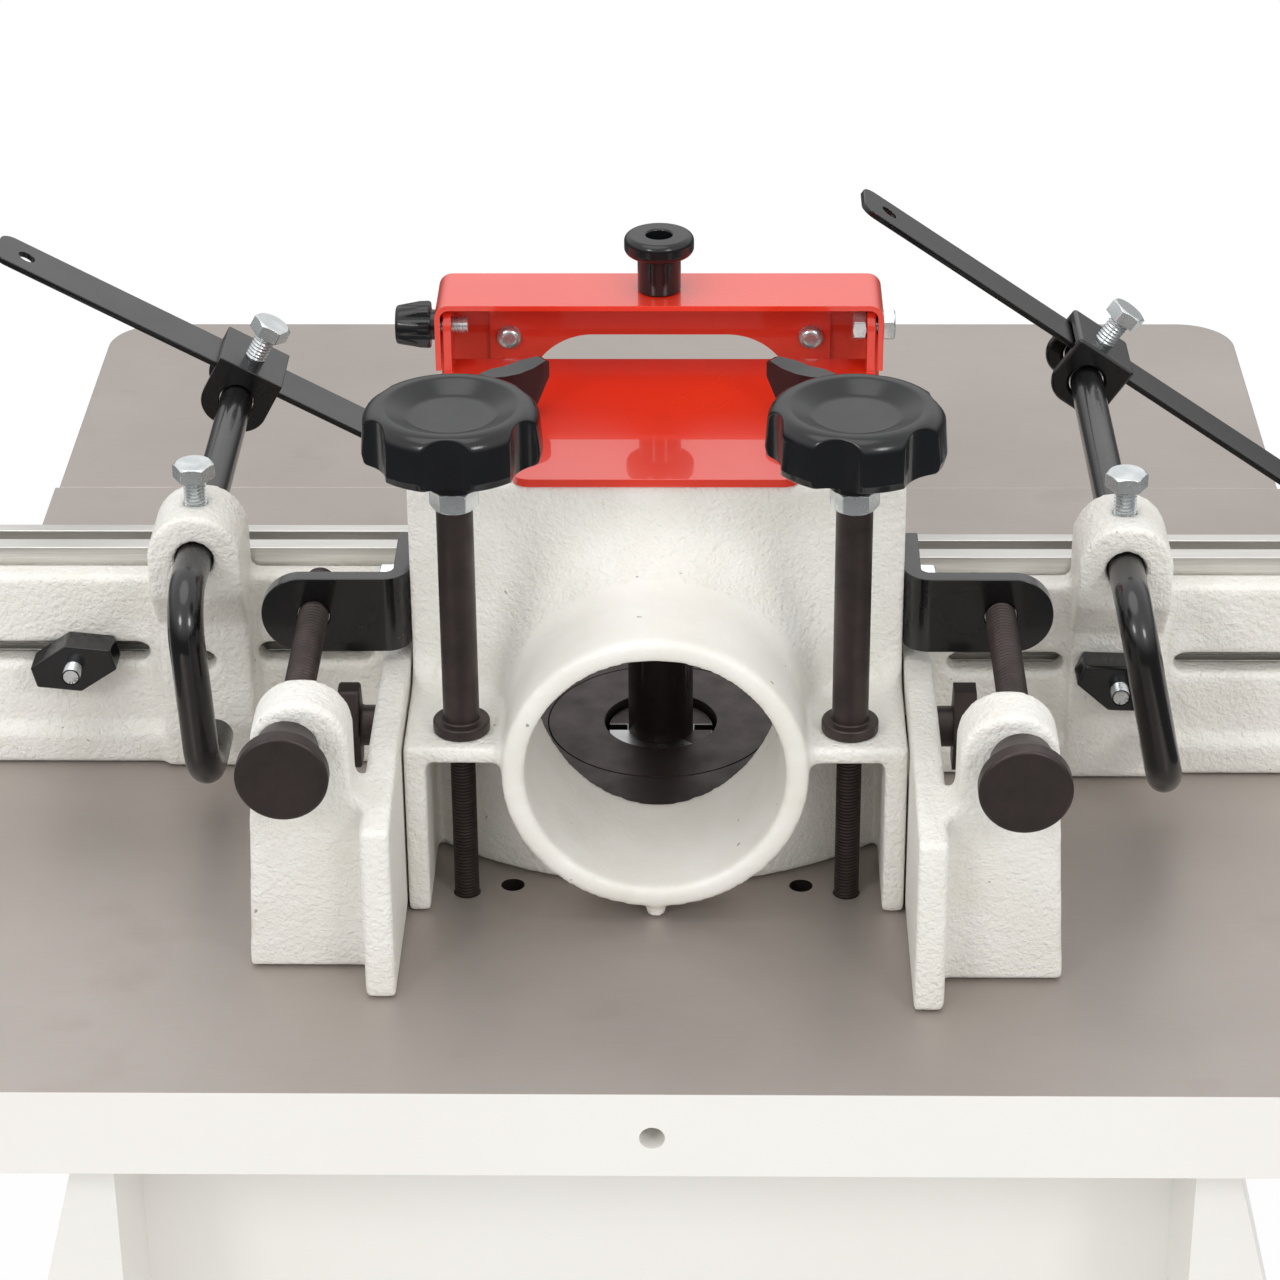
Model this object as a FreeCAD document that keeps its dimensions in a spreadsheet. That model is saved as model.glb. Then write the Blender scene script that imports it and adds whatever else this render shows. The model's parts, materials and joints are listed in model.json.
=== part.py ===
"""Spindle moulder with a two-part fence, a hinged cutter guard and spring hold-downs.

The origin lies on the floor in the middle of the footprint. X runs along the fence with the infeed
side positive, Y runs away from the operator, and Z is up. All lengths are in millimetres.
Pieces are drawn about the spindle axis and moved back as one, so that the footprint is centred.
"""
import FreeCAD, Part
import math
import os
from types import SimpleNamespace
import Sketcher

# Driving dimensions, in the order in which the machine is put together.
SIZES = {
    # Fits and overruns
    "overrun": 2, "slide_gap": 0.3, "running_gap": 0.05, "seam": 0.3,
    # Table and wing
    "table_height": 864, "table_thickness": 31.8, "table_half_width": 257, "table_rear": 240.3,
    "table_front": 197, "table_corner": 20, "skirt_wall": 14, "plate_thickness": 14,
    "rib_inner": 148, "rib_outer": 172, "hub_radius": 107, "opening_radius": 78,
    "wing_depth": 172, "wing_inset": 1.6, "wing_corner": 24,
    "mitre_slot_place": 105, "mitre_slot_width": 19.2, "mitre_slot_depth": 9.6,
    "edge_hole_radius": 4.1, "edge_hole_drop": 17,
    "spare_hole_radius": 4, "spare_hole_place": 49.8, "spare_hole_rear": 115.6,
    "ring_radius": 89, "ring_thickness": 12, "ring_split_radius": 42, "ring_hole_radius": 20.9,
    "ring_ledge": 6, "ring_step": 6,
    # Cabinet
    "cabinet_top_half": 188, "cabinet_base_half": 233, "shoulder_height": 650, "cabinet_front": 190,
    "cabinet_rear": 215, "sheet": 3, "flange": 6, "top_window_half": 140, "top_window_depth": 128,
    "base_window_half": 150, "base_window_depth": 120, "foot_height": 14, "foot_radius": 22,
    "foot_inset": 34, "foot_stud_radius": 6, "rear_window_half": 178, "rear_window_bottom": 90,
    "rear_window_top": 820, "recess_depth": 50, "panel_overlap": 4,
    # Lift way and carriage
    "way_half_width": 45, "way_front": 56, "way_thickness": 20, "way_bottom": 470, "way_flange_half": 62,
    "way_flange_rear": 104, "way_flange_thickness": 10, "rail_root_half": 20, "rail_face_half": 28,
    "rail_depth": 12, "tube_radius": 42, "tube_drop": 64, "tube_length": 160, "shoe_front": 28,
    "bearing_radius": 31, "bearing_width": 16, "bearing_inset": 12,
    "carriage_plate_thickness": 12, "plate_inner": 48, "plate_outer": 198, "plate_half_depth": 82,
    "plate_neck_half": 28, "nut_arm_half": 15, "nut_arm_lift": 20, "nut_arm_height": 30, "nut_arm_reach": 92,
    "post_radius": 8, "post_span": 58, "post_spread": 70,
    # Spindle
    "spindle_radius": 15, "arbor_radius": 6.35, "spindle_foot": 598, "pulley_seat_radius": 11,
    "arbor_top": 84, "flange_radius": 19.5, "flange_thickness": 3, "flange_drop": 6,
    "spanner_slot_width": 4, "spanner_slot_depth": 7, "collar_radius": 12, "collar_height": 20,
    "collar_count": 3, "spindle_nut_across": 22, "spindle_nut_height": 14,
    # Drive
    "motor_place": 128, "motor_radius": 70, "motor_top": 580, "motor_bottom": 400, "motor_flange_half": 78,
    "motor_flange_thickness": 10, "motor_cap_radius": 58, "motor_cap_height": 16, "motor_shaft_radius": 8,
    "motor_shaft_depth": 22, "motor_pulley_radius": 60, "spindle_pulley_radius": 26, "pulley_bottom": 604,
    "pulley_width": 22, "belt_depth": 8, "belt_width": 8, "groove_gap": 0.4,
    # Height adjustment
    "screw_place_x": 70, "screw_place_y": 20, "screw_radius": 9, "screw_top": 770, "gear_height": 455,
    "gear_near": 14, "gear_far": 24, "gear_gap": 0.6, "gear_hub_radius": 13, "bracket_plate": 12,
    "bracket_bottom": 425, "bracket_gap_height": 37, "bracket_front": 34, "bracket_half": 29,
    "screw_collar_radius": 14, "screw_collar_height": 6, "wheel_shaft_radius": 8, "wheel_place": 245,
    "wheel_radius": 74, "wheel_rim": 9, "wheel_hub_radius": 20, "wheel_hub_length": 30, "spoke_radius": 6,
    "grip_radius": 10, "grip_length": 60, "grip_pin_radius": 4, "grip_neck": 4,
    "grip_tail_share": 0.7, "grip_belly_share": 0.6, "grip_nose_share": 0.8, "spoke_count": 3,
    # Switch
    "switch_place": 112, "switch_half_width": 34, "switch_depth": 42, "switch_bottom": 690,
    "switch_top": 790, "switch_corner": 8, "button_spread": 24, "on_radius": 12, "off_radius": 16,
    "button_stand": 5, "button_well": 12, "button_travel": 5,
    # Fence housing
    "housing_half": 84.4, "housing_wall": 7.5, "housing_front": 38, "lip_front": 6, "lip_height": 95,
    "lip_rise": 12, "housing_top": 137, "roof": 7, "drum_radius": 117, "back_wall": 82, "leg_rear": 133.8,
    "shelf_top": 64.5, "shelf_thickness": 6, "shoulder_round": 11, "port_rear": 140, "port_height": 57,
    "port_radius": 51.4, "port_bore": 43.6, "foot_boss_radius": 3.6, "foot_boss_place": 134,
    # Fence clamps
    "clamp_place": 65.3, "clamp_rear": 120, "stud_radius": 4.25, "stud_drop": 20, "stud_top": 172,
    "sleeve_radius": 6.1, "sleeve_flange_radius": 9.6, "sleeve_flange_height": 4.2, "sleeve_top": 148,
    "jam_nut_across": 14, "jam_nut_height": 7.5, "clamp_knob_radius": 29.5, "clamp_knob_height": 28.6,
    "clamp_knob_hub": 8.5, "clamp_knob_neck": 10.7, "lobe_radius": 10.5, "lobe_depth": 4.5, "dish_radius": 21,
    "dish_depth": 3.5, "dish_floor_share": 0.62, "knob_round": 6, "lobe_count": 6,
    # Fence halves
    "fence_gap": 0.6, "fence_rear": 29.3, "fence_plate": 11, "fence_height": 75, "fence_reach": 340,
    "outfeed_setback": 6.9, "side_plate": 10, "side_rear": 187, "side_toe": 64, "side_shoulder": 142,
    "side_height": 70.5, "web_outer": 135, "web_rear": 168, "web_thickness": 10, "adjust_place": 117.5,
    "adjust_height": 88.5, "boss_place": 113.5, "boss_radius": 15.6, "boss_rear": 175, "boss_front": 156,
    "slot_height": 7.6, "slot_level": 44, "outer_slot_start": 184, "outer_slot_end": 300,
    "inner_slot_start": 103, "inner_slot_end": 145, "post_place": 163, "post_half": 16.5, "post_rear": 48,
    "post_foot_rear": 36, "post_foot_height": 60, "post_knee_height": 76, "rod_height": 91, "rod_room": 0.6,
    "fence_foot": 4, "fence_foot_height": 12,
    "lock_slot_half": 22, "lock_place": 98, "lock_level": 53.4, "lock_stud_radius": 3.9,
    "lock_wing_thickness": 7.7, "lock_hub_radius": 7, "lock_hub_length": 6,
    "post_bolt_radius": 4, "post_bolt_across": 13, "post_bolt_head": 5.5, "post_bolt_top": 122,
    "post_bolt_rear": 33,
    # Fence boards
    "board_thickness": 18.5, "board_height": 81, "board_inner": 45, "board_length": 300, "board_lift": 0.5,
    "track_width": 6.5, "track_depth": 8, "track_inset": 5.2, "tee_neck": 9, "tee_neck_depth": 3.4,
    "tee_width": 15, "tee_depth": 6.4,
    # Board knobs
    "board_bolt_radius": 3.2, "board_bolt_head": 6.4, "board_bolt_head_height": 4, "board_bolt_tail": 6,
    "wing_half_length": 15, "wing_half_height": 9.5, "wing_tip_half": 4, "wing_thickness": 12,
    "infeed_knob_place": 210, "infeed_knob_turn": 14, "outfeed_knob_turn": -22,
    # Fine adjustment
    "adjust_bracket_sheet": 6, "bracket_rear": 84, "bracket_half_height": 14, "bracket_leg_front": 48,
    "bracket_reach": 18, "bracket_bend": 9,
    "bracket_bolt_place": 60, "bracket_bolt_radius": 4, "bracket_bolt_across": 13, "bracket_bolt_head": 6,
    "adjust_screw_radius": 5.2, "adjust_screw_front": 58, "adjust_knob_radius": 15,
    "adjust_knob_length": 20, "adjust_knob_round": 1.2, "adjust_neck_radius": 10.3,
    "adjust_neck_length": 13.5, "adjust_flare_share": 0.87, "adjust_collar_radius": 9,
    "adjust_collar_length": 4,
    # Hold-downs
    "rod_radius": 6.3, "rod_drop": 70, "rod_back": 81, "rod_bend": 17, "rod_tail_bend": 14, "rod_tail": 48,
    "infeed_saddle": 101, "outfeed_saddle": 118, "infeed_drop_lean": -3, "outfeed_drop_lean": 12,
    "infeed_bar_tilt": 28.6, "outfeed_bar_tilt": 34.7, "saddle_half_depth": 15, "saddle_wall": 5.5,
    "saddle_cap": 4, "saddle_half_width": 13, "saddle_round_share": 0.75,
    "bar_half_width": 11, "bar_thickness": 2.4,
    "bar_length": 240, "infeed_bar_upper": 106, "outfeed_bar_upper": 111.5, "bar_hole_radius": 3.2,
    "bar_hole_inset": 12, "bar_round_share": 0.5, "saddle_bolt_radius": 4, "saddle_bolt_across": 13,
    "saddle_bolt_head": 5.5, "saddle_bolt_stand": 10.6,
    # Guard
    "guard_sheet": 3, "guard_rear": 83.3, "guard_step": 56, "guard_half": 48.7, "guard_wide_half": 62,
    "guard_front": 16, "guard_corner": 6, "ear_half": 76.7, "ear_radius": 8, "ear_rear": 2,
    "pivot_place": 12, "pivot_height": 155, "pivot_radius": 3, "hood_half": 79.5, "hood_sheet": 2,
    "hood_rear": 3, "hood_front": 33, "hood_top": 166, "hood_bottom": 141, "hood_bend": 5,
    "hood_wall_bottom": 120,
    "notch_half": 48.3, "notch_top": 143.7, "notch_round": 24, "shield_half": 61.5, "shield_top": 160,
    "shield_bottom": 112, "shield_bolt_place": 54.5, "shield_bolt_level": 143, "shield_bolt_radius": 2.5,
    "dome_radius": 4.5, "dome_height": 3, "dome_round_share": 0.9, "lock_small_radius": 8.6,
    "lock_small_length": 14, "lock_small_hub": 5.4, "lock_taper_share": 0.78, "lock_small_step": 1.5,
    "lock_small_reach": 5.5, "pivot_bolt_across": 10, "pivot_bolt_head": 4, "pivot_nut_height": 5,
    "handle_place": 18, "handle_height": 21.2, "handle_head_radius": 12.4, "handle_stem_radius": 7.7,
    "handle_head_height": 7.2, "handle_round": 2.4, "handle_hole_radius": 4.6, "handle_hole_depth": 9,
    "guard_knob_place": 50, "guard_knob_rear": 34, "guard_stud_radius": 3, "guard_slot_half": 13,
    "guard_knob_height": 19, "guard_knob_half_length": 14, "guard_knob_thickness": 8.4, "guard_hub_radius": 7,
    "guard_hub_height": 5, "guard_knob_rise": 4, "guard_knob_dip": 1.2, "guard_knob_round": 2.4,
    "guard_knob_turn": 37,
    # Table bolts
    "table_bolt_radius": 5, "table_bolt_across": 16, "table_bolt_head": 6.5,
    "table_bolt_front": 150, "table_bolt_rear": 142,
}

doc = FreeCAD.newDocument("spindle_moulder")
sheet = doc.addObject("Spreadsheet::Sheet", "sizes")
for row, (alias, number) in enumerate(SIZES.items(), start=1):
    sheet.set(f"A{row}", str(number))
    sheet.setAlias(f"A{row}", alias)
doc.recompute()


class Size:
    """A size that carries both its formula in the sheet and its present value."""

    def __init__(self, formula, value):
        self.formula = formula
        self.value = value

    def joined(self, sign, other, value):
        return Size(f"({self.formula} {sign} {other.formula})", value)

    def __add__(self, other):
        other = as_size(other)
        return self.joined("+", other, self.value + other.value)

    def __sub__(self, other):
        other = as_size(other)
        return self.joined("-", other, self.value - other.value)

    def __mul__(self, factor):
        factor = as_size(factor)
        return self.joined("*", factor, self.value * factor.value)

    def __truediv__(self, divisor):
        divisor = as_size(divisor)
        return self.joined("/", divisor, self.value / divisor.value)

    def __neg__(self):
        return Size("0", 0) - self

    __radd__ = __add__
    __rmul__ = __mul__


def as_size(value):
    return value if isinstance(value, Size) else Size(f"({value!r})", value)


s = SimpleNamespace(**{name: Size(f"sizes.{name}", number) for name, number in SIZES.items()})
ZERO = Size("0", 0)
AXES = {"X": FreeCAD.Vector(1, 0, 0), "Y": FreeCAD.Vector(0, 1, 0), "Z": FreeCAD.Vector(0, 0, 1)}
HEX_SHARE = 1 / math.sqrt(3)
FULL_ROUND_SHARE = 0.98
nodes = []


def bind(thing, **formulas):
    """Ties properties to the sheet; a double underscore stands for a dot."""
    for name, size in formulas.items():
        thing.setExpression(name.replace("__", "."), as_size(size).formula)
    return thing


def put(thing, x=ZERO, y=ZERO, z=ZERO, axis="Z", angle=0):
    """Places a thing at a point, turned about one axis by an angle in degrees."""
    thing.Placement = FreeCAD.Placement(FreeCAD.Vector(), FreeCAD.Rotation(AXES[axis], angle))
    return bind(thing, Placement__Base__x=x, Placement__Base__y=y, Placement__Base__z=z)


def ordered(first, second):
    first, second = as_size(first), as_size(second)
    return (first, second) if first.value <= second.value else (second, first)


def box(x_span, y_span, z_span):
    (x0, x1), (y0, y1), (z0, z1) = ordered(*x_span), ordered(*y_span), ordered(*z_span)
    thing = doc.addObject("Part::Box", "block")
    bind(thing, Length=x1 - x0, Width=y1 - y0, Height=z1 - z0)
    return put(thing, x0, y0, z0)


def along(thing, axis, at, start):
    """Stands a thing that was made along Z on another axis, from a start on that axis."""
    if axis == "X":
        return put(thing, start, at[0], at[1], "Y", 90)
    if axis == "Y":
        return put(thing, at[0], start, at[1], "X", -90)
    return put(thing, at[0], at[1], start)


def cylinder(axis, radius, at, span):
    start, end = ordered(*span)
    thing = bind(doc.addObject("Part::Cylinder", "round"), Radius=radius, Height=end - start)
    return along(thing, axis, at, start)


def cone(axis, radii, at, span):
    """A frustum whose first radius is at the first end of the span."""
    pairs = sorted(zip(span, radii), key=lambda pair: as_size(pair[0]).value)
    (start, start_radius), (end, end_radius) = pairs
    thing = doc.addObject("Part::Cone", "taper")
    bind(thing, Radius1=start_radius, Radius2=end_radius, Height=end - start)
    return along(thing, axis, at, start)


def hexagon(axis, across, at, span):
    start, end = ordered(*span)
    thing = doc.addObject("Part::Prism", "hexagon")
    thing.Polygon = 6
    bind(thing, Circumradius=across * HEX_SHARE, Height=end - start)
    return along(thing, axis, at, start)


def fuse(*pieces):
    thing = doc.addObject("Part::MultiFuse", "joined")
    thing.Shapes = list(pieces)
    thing.Refine = True
    return thing


def cut(base, *tools):
    thing = doc.addObject("Part::Cut", "cut")
    thing.Base = base
    thing.Tool = tools[0] if len(tools) == 1 else fuse(*tools)
    return thing


def common(first, second):
    thing = doc.addObject("Part::Common", "shared")
    thing.Base = first
    thing.Tool = second
    return thing


def ring(axis, outer, inner, at, span):
    start, end = ordered(*span)
    bore = cylinder(axis, inner, at, (start - s.overrun, end + s.overrun))
    return cut(cylinder(axis, outer, at, (start, end)), bore)


def corner_points(outline, closed):
    """Works out where each rounded corner leaves its two sides, and its centre."""
    points = [FreeCAD.Vector(x.value, y.value, 0) for x, y, _ in outline]
    places = []
    for index, (_, _, radius) in enumerate(outline):
        here = points[index]
        end_point = not closed and index in (0, len(points) - 1)
        if radius is None or end_point:
            places.append(SimpleNamespace(enter=here, leave=here, centre=None, left=True))
            continue
        back = (points[index - 1] - here).normalize()
        ahead = (points[(index + 1) % len(points)] - here).normalize()
        half = back.getAngle(ahead) / 2
        reach = radius.value / math.tan(half)
        middle = (back + ahead).normalize()
        places.append(SimpleNamespace(
            enter=here + back * reach,
            leave=here + ahead * reach,
            centre=here + middle * (radius.value / math.sin(half)),
            left=back.cross(ahead).z < 0,
        ))
    return places


def fix_point(sketch, geometry, point, x, y):
    """Ties one point of a sketch to its place in the sheet."""
    for kind, size, axis in (("DistanceX", x, -2), ("DistanceY", y, -1)):
        if size.formula == "0":
            sketch.addConstraint(Sketcher.Constraint("PointOnObject", geometry, point, axis))
            continue
        rule = sketch.addConstraint(Sketcher.Constraint(kind, -1, 1, geometry, point, size.value))
        sketch.setExpression(f"Constraints[{rule}]", size.formula)


def draw(sketch, outline, closed=True):
    """Draws straight sides between corners; a third value rounds a corner."""
    outline = [(as_size(p[0]), as_size(p[1]), as_size(p[2]) if len(p) > 2 else None) for p in outline]
    outline = [(x if x.value else ZERO, y if y.value else ZERO, radius) for x, y, radius in outline]
    places = corner_points(outline, closed)
    count = len(outline)
    sides = count if closed else count - 1
    lines = []
    for index in range(sides):
        start, end = places[index].leave, places[(index + 1) % count].enter
        lines.append(sketch.addGeometry(Part.LineSegment(start, end)))
    for index, (x, y, radius) in enumerate(outline):
        place = places[index]
        before, after = lines[index - 1], lines[index % sides]
        if not closed and index in (0, count - 1):
            end_line, end_point = (lines[0], 1) if index == 0 else (lines[-1], 2)
            fix_point(sketch, end_line, end_point, x, y)
            continue
        if place.centre is None:
            sketch.addConstraint(Sketcher.Constraint("Coincident", before, 2, after, 1))
            fix_point(sketch, after, 1, x, y)
            continue
        first, last = (place.enter, place.leave) if place.left else (place.leave, place.enter)
        first_angle = math.atan2(first.y - place.centre.y, first.x - place.centre.x)
        last_angle = math.atan2(last.y - place.centre.y, last.x - place.centre.x)
        circle = Part.Circle(place.centre, AXES["Z"], radius.value)
        arc = sketch.addGeometry(Part.ArcOfCircle(circle, first_angle, last_angle))
        enter_end, leave_end = (1, 2) if place.left else (2, 1)
        corner = sketch.addGeometry(Part.Point(FreeCAD.Vector(x.value, y.value, 0)), True)
        sketch.addConstraint([
            Sketcher.Constraint("Tangent", before, 2, arc, enter_end),
            Sketcher.Constraint("Tangent", arc, leave_end, after, 1),
            Sketcher.Constraint("PointOnObject", corner, 1, before),
            Sketcher.Constraint("PointOnObject", corner, 1, after),
        ])
        fix_point(sketch, corner, 1, x, y)
        rule = sketch.addConstraint(Sketcher.Constraint("Radius", arc, radius.value))
        sketch.setExpression(f"Constraints[{rule}]", radius.formula)


def new_sketch(body, plane, offset):
    """A sketch on one of the body's own planes, moved along that plane's normal."""
    sketch = body.newObject("Sketcher::SketchObject", "outline")
    origin_plane = next(item for item in body.Origin.OriginFeatures if item.Role == f"{plane}_Plane")
    sketch.AttachmentSupport = [(origin_plane, "")]
    sketch.MapMode = "FlatFace"
    return bind(sketch, AttachmentOffset__Base__z=offset)


def pad(plane, outline, span):
    """A prism: an outline in a plane, carried along the plane's normal over a span."""
    start, end = ordered(*span)
    body = doc.addObject("PartDesign::Body", "prism")
    sketch = new_sketch(body, plane, -end if plane == "XZ" else start)
    draw(sketch, outline)
    feature = body.newObject("PartDesign::Pad", "pad")
    feature.Profile = sketch
    return bind_body(body, feature, Length=end - start)


def bind_body(body, feature, **formulas):
    bind(feature, **formulas)
    body.Tip = feature
    return body


def turned(axis, outline, at):
    """A turned piece: an outline of (radius, height) corners spun about an axis."""
    body = doc.addObject("PartDesign::Body", "turned")
    sketch = new_sketch(body, "XZ" if axis == "Z" else "XY", ZERO)
    draw(sketch, [(p[1], p[0], *p[2:]) for p in outline] if axis == "X" else outline)
    feature = body.newObject("PartDesign::Revolution", "turn")
    feature.Profile = sketch
    feature.ReferenceAxis = (sketch, ["H_Axis" if axis == "X" else "V_Axis"])
    feature.Angle = 360
    body.Tip = feature
    if axis == "X":
        return put(body, ZERO, at[0], at[1])
    if axis == "Y":
        return put(body, at[0], ZERO, at[1])
    return put(body, at[0], at[1], ZERO)


def pipe(outline, radius):
    """A bent round bar that starts along Y, with its path in the YZ plane."""
    body = doc.addObject("PartDesign::Body", "bent_bar")
    path = new_sketch(body, "YZ", ZERO)
    draw(path, outline, closed=False)
    start_y, start_z = as_size(outline[0][0]), as_size(outline[0][1])
    section = new_sketch(body, "XZ", -start_y)
    circle = section.addGeometry(Part.Circle(FreeCAD.Vector(0, start_z.value, 0), AXES["Z"], radius.value))
    fix_point(section, circle, 3, ZERO, start_z if start_z.value else ZERO)
    rule = section.addConstraint(Sketcher.Constraint("Radius", circle, radius.value))
    section.setExpression(f"Constraints[{rule}]", radius.formula)
    feature = body.newObject("PartDesign::AdditivePipe", "pipe")
    feature.Profile = section
    feature.Spine = (path, [])
    body.Tip = feature
    return body


def polar(count):
    """The cosine and sine of evenly spaced directions."""
    turns = [2 * math.pi * index / count.value for index in range(count.value)]
    return [(math.cos(turn), math.sin(turn)) for turn in turns]


def node(name, *solids):
    """Names a piece, or a group of like ones, and moves it with the rest of the machine."""
    thing = doc.addObject("Part::Compound", "piece")
    thing.Links = list(solids)
    thing.Label = name
    nodes.append(bind(thing, Placement__Base__y=FOOTPRINT_SHIFT))


# Levels that many pieces share.
TOP = s.table_height
UNDERSIDE = TOP - s.table_thickness
PLATE_UNDER = TOP - s.plate_thickness
TUBE_TOP = TOP - s.tube_drop
TUBE_BOTTOM = TUBE_TOP - s.tube_length
AXIS = (ZERO, ZERO)
FOOTPRINT_SHIFT = (s.table_front + s.wing_depth - s.table_rear) / 2
SIDES = {"infeed": 1, "outfeed": -1}
SETBACKS = {"infeed": ZERO, "outfeed": s.outfeed_setback}


def rounded_slab(half_width, rear, front, rear_corner, front_corner, z_span):
    """A flat slab in plan; a corner value of None leaves that pair of corners square."""
    def corner(x, y, radius):
        return (x, y) if radius is None else (x, y, radius)
    return pad("XY", [
        corner(half_width, front, front_corner), corner(half_width, rear, rear_corner),
        corner(-half_width, rear, rear_corner), corner(-half_width, front, front_corner),
    ], z_span)


def make_table():
    inner_half = s.table_half_width - s.skirt_wall
    slab = rounded_slab(
        s.table_half_width, s.table_rear, -s.table_front, s.table_corner, None, (UNDERSIDE, TOP))
    hollow = box(
        (-inner_half, inner_half), (s.skirt_wall - s.table_front, s.table_rear - s.skirt_wall),
        (UNDERSIDE - s.overrun, PLATE_UNDER))
    rib_span = (s.skirt_wall - s.table_front - s.overrun, s.table_rear - s.skirt_wall + s.overrun)
    ribs = [
        box((side * s.rib_inner, side * s.rib_outer), rib_span, (UNDERSIDE, PLATE_UNDER + s.overrun))
        for side in SIDES.values()
    ]
    hub = cylinder("Z", s.hub_radius, AXIS, (UNDERSIDE, PLATE_UNDER + s.overrun))
    casting = fuse(cut(slab, hollow), hub, *ribs)
    above = TOP + s.overrun
    slot_half = s.mitre_slot_width / 2
    slot = box(
        (-s.table_half_width - s.overrun, s.table_half_width + s.overrun),
        (-s.mitre_slot_place - slot_half, slot_half - s.mitre_slot_place), (TOP - s.mitre_slot_depth, above))
    holes = [
        cylinder("Z", s.opening_radius, AXIS, (UNDERSIDE - s.overrun, above)),
        cylinder("Z", s.ring_radius, AXIS, (TOP - s.ring_thickness, above)),
        cylinder("Y", s.edge_hole_radius, (ZERO, TOP - s.edge_hole_drop),
                 (s.table_rear - s.skirt_wall, s.table_rear + s.overrun)),
    ]
    for side in SIDES.values():
        spare = (side * s.spare_hole_place, s.spare_hole_rear)
        clamp = (side * s.clamp_place, s.clamp_rear)
        holes.append(cylinder("Z", s.spare_hole_radius, spare, (PLATE_UNDER - s.overrun, above)))
        holes.append(cylinder("Z", s.stud_radius + s.slide_gap, clamp, (UNDERSIDE - s.overrun, above)))
    node("table_main", cut(casting, slot, *holes))
    wing_half = s.table_half_width - s.wing_inset
    wing_rear = -s.table_front - s.seam
    wing_front = -s.table_front - s.wing_depth
    wing = rounded_slab(wing_half, wing_rear, wing_front, None, s.wing_corner, (UNDERSIDE, TOP))
    wing_hollow = rounded_slab(
        wing_half - s.skirt_wall, wing_rear - s.skirt_wall, wing_front + s.skirt_wall, None,
        s.wing_corner - s.skirt_wall, (UNDERSIDE - s.overrun, PLATE_UNDER))
    node("table_wing", cut(wing, wing_hollow))


def make_rings():
    floor = TOP - s.ring_thickness
    ledge = TOP - s.ring_step
    outer = ring("Z", s.ring_radius - s.slide_gap, s.ring_split_radius - s.ring_ledge, AXIS, (floor, TOP))
    recess = cylinder("Z", s.ring_split_radius, AXIS, (ledge, TOP + s.overrun))
    node("insert_ring_outer", cut(outer, recess))
    inner_radius = s.ring_split_radius - s.slide_gap
    node("insert_ring_inner", ring("Z", inner_radius, s.ring_hole_radius, AXIS, (ledge, TOP)))


def cabinet_outline(inset, bottom, top):
    base, upper = s.cabinet_base_half - inset, s.cabinet_top_half - inset
    return [
        (-base, bottom), (base, bottom), (base, s.shoulder_height), (upper, top), (-upper, top),
        (-base, s.shoulder_height),
    ]


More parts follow.
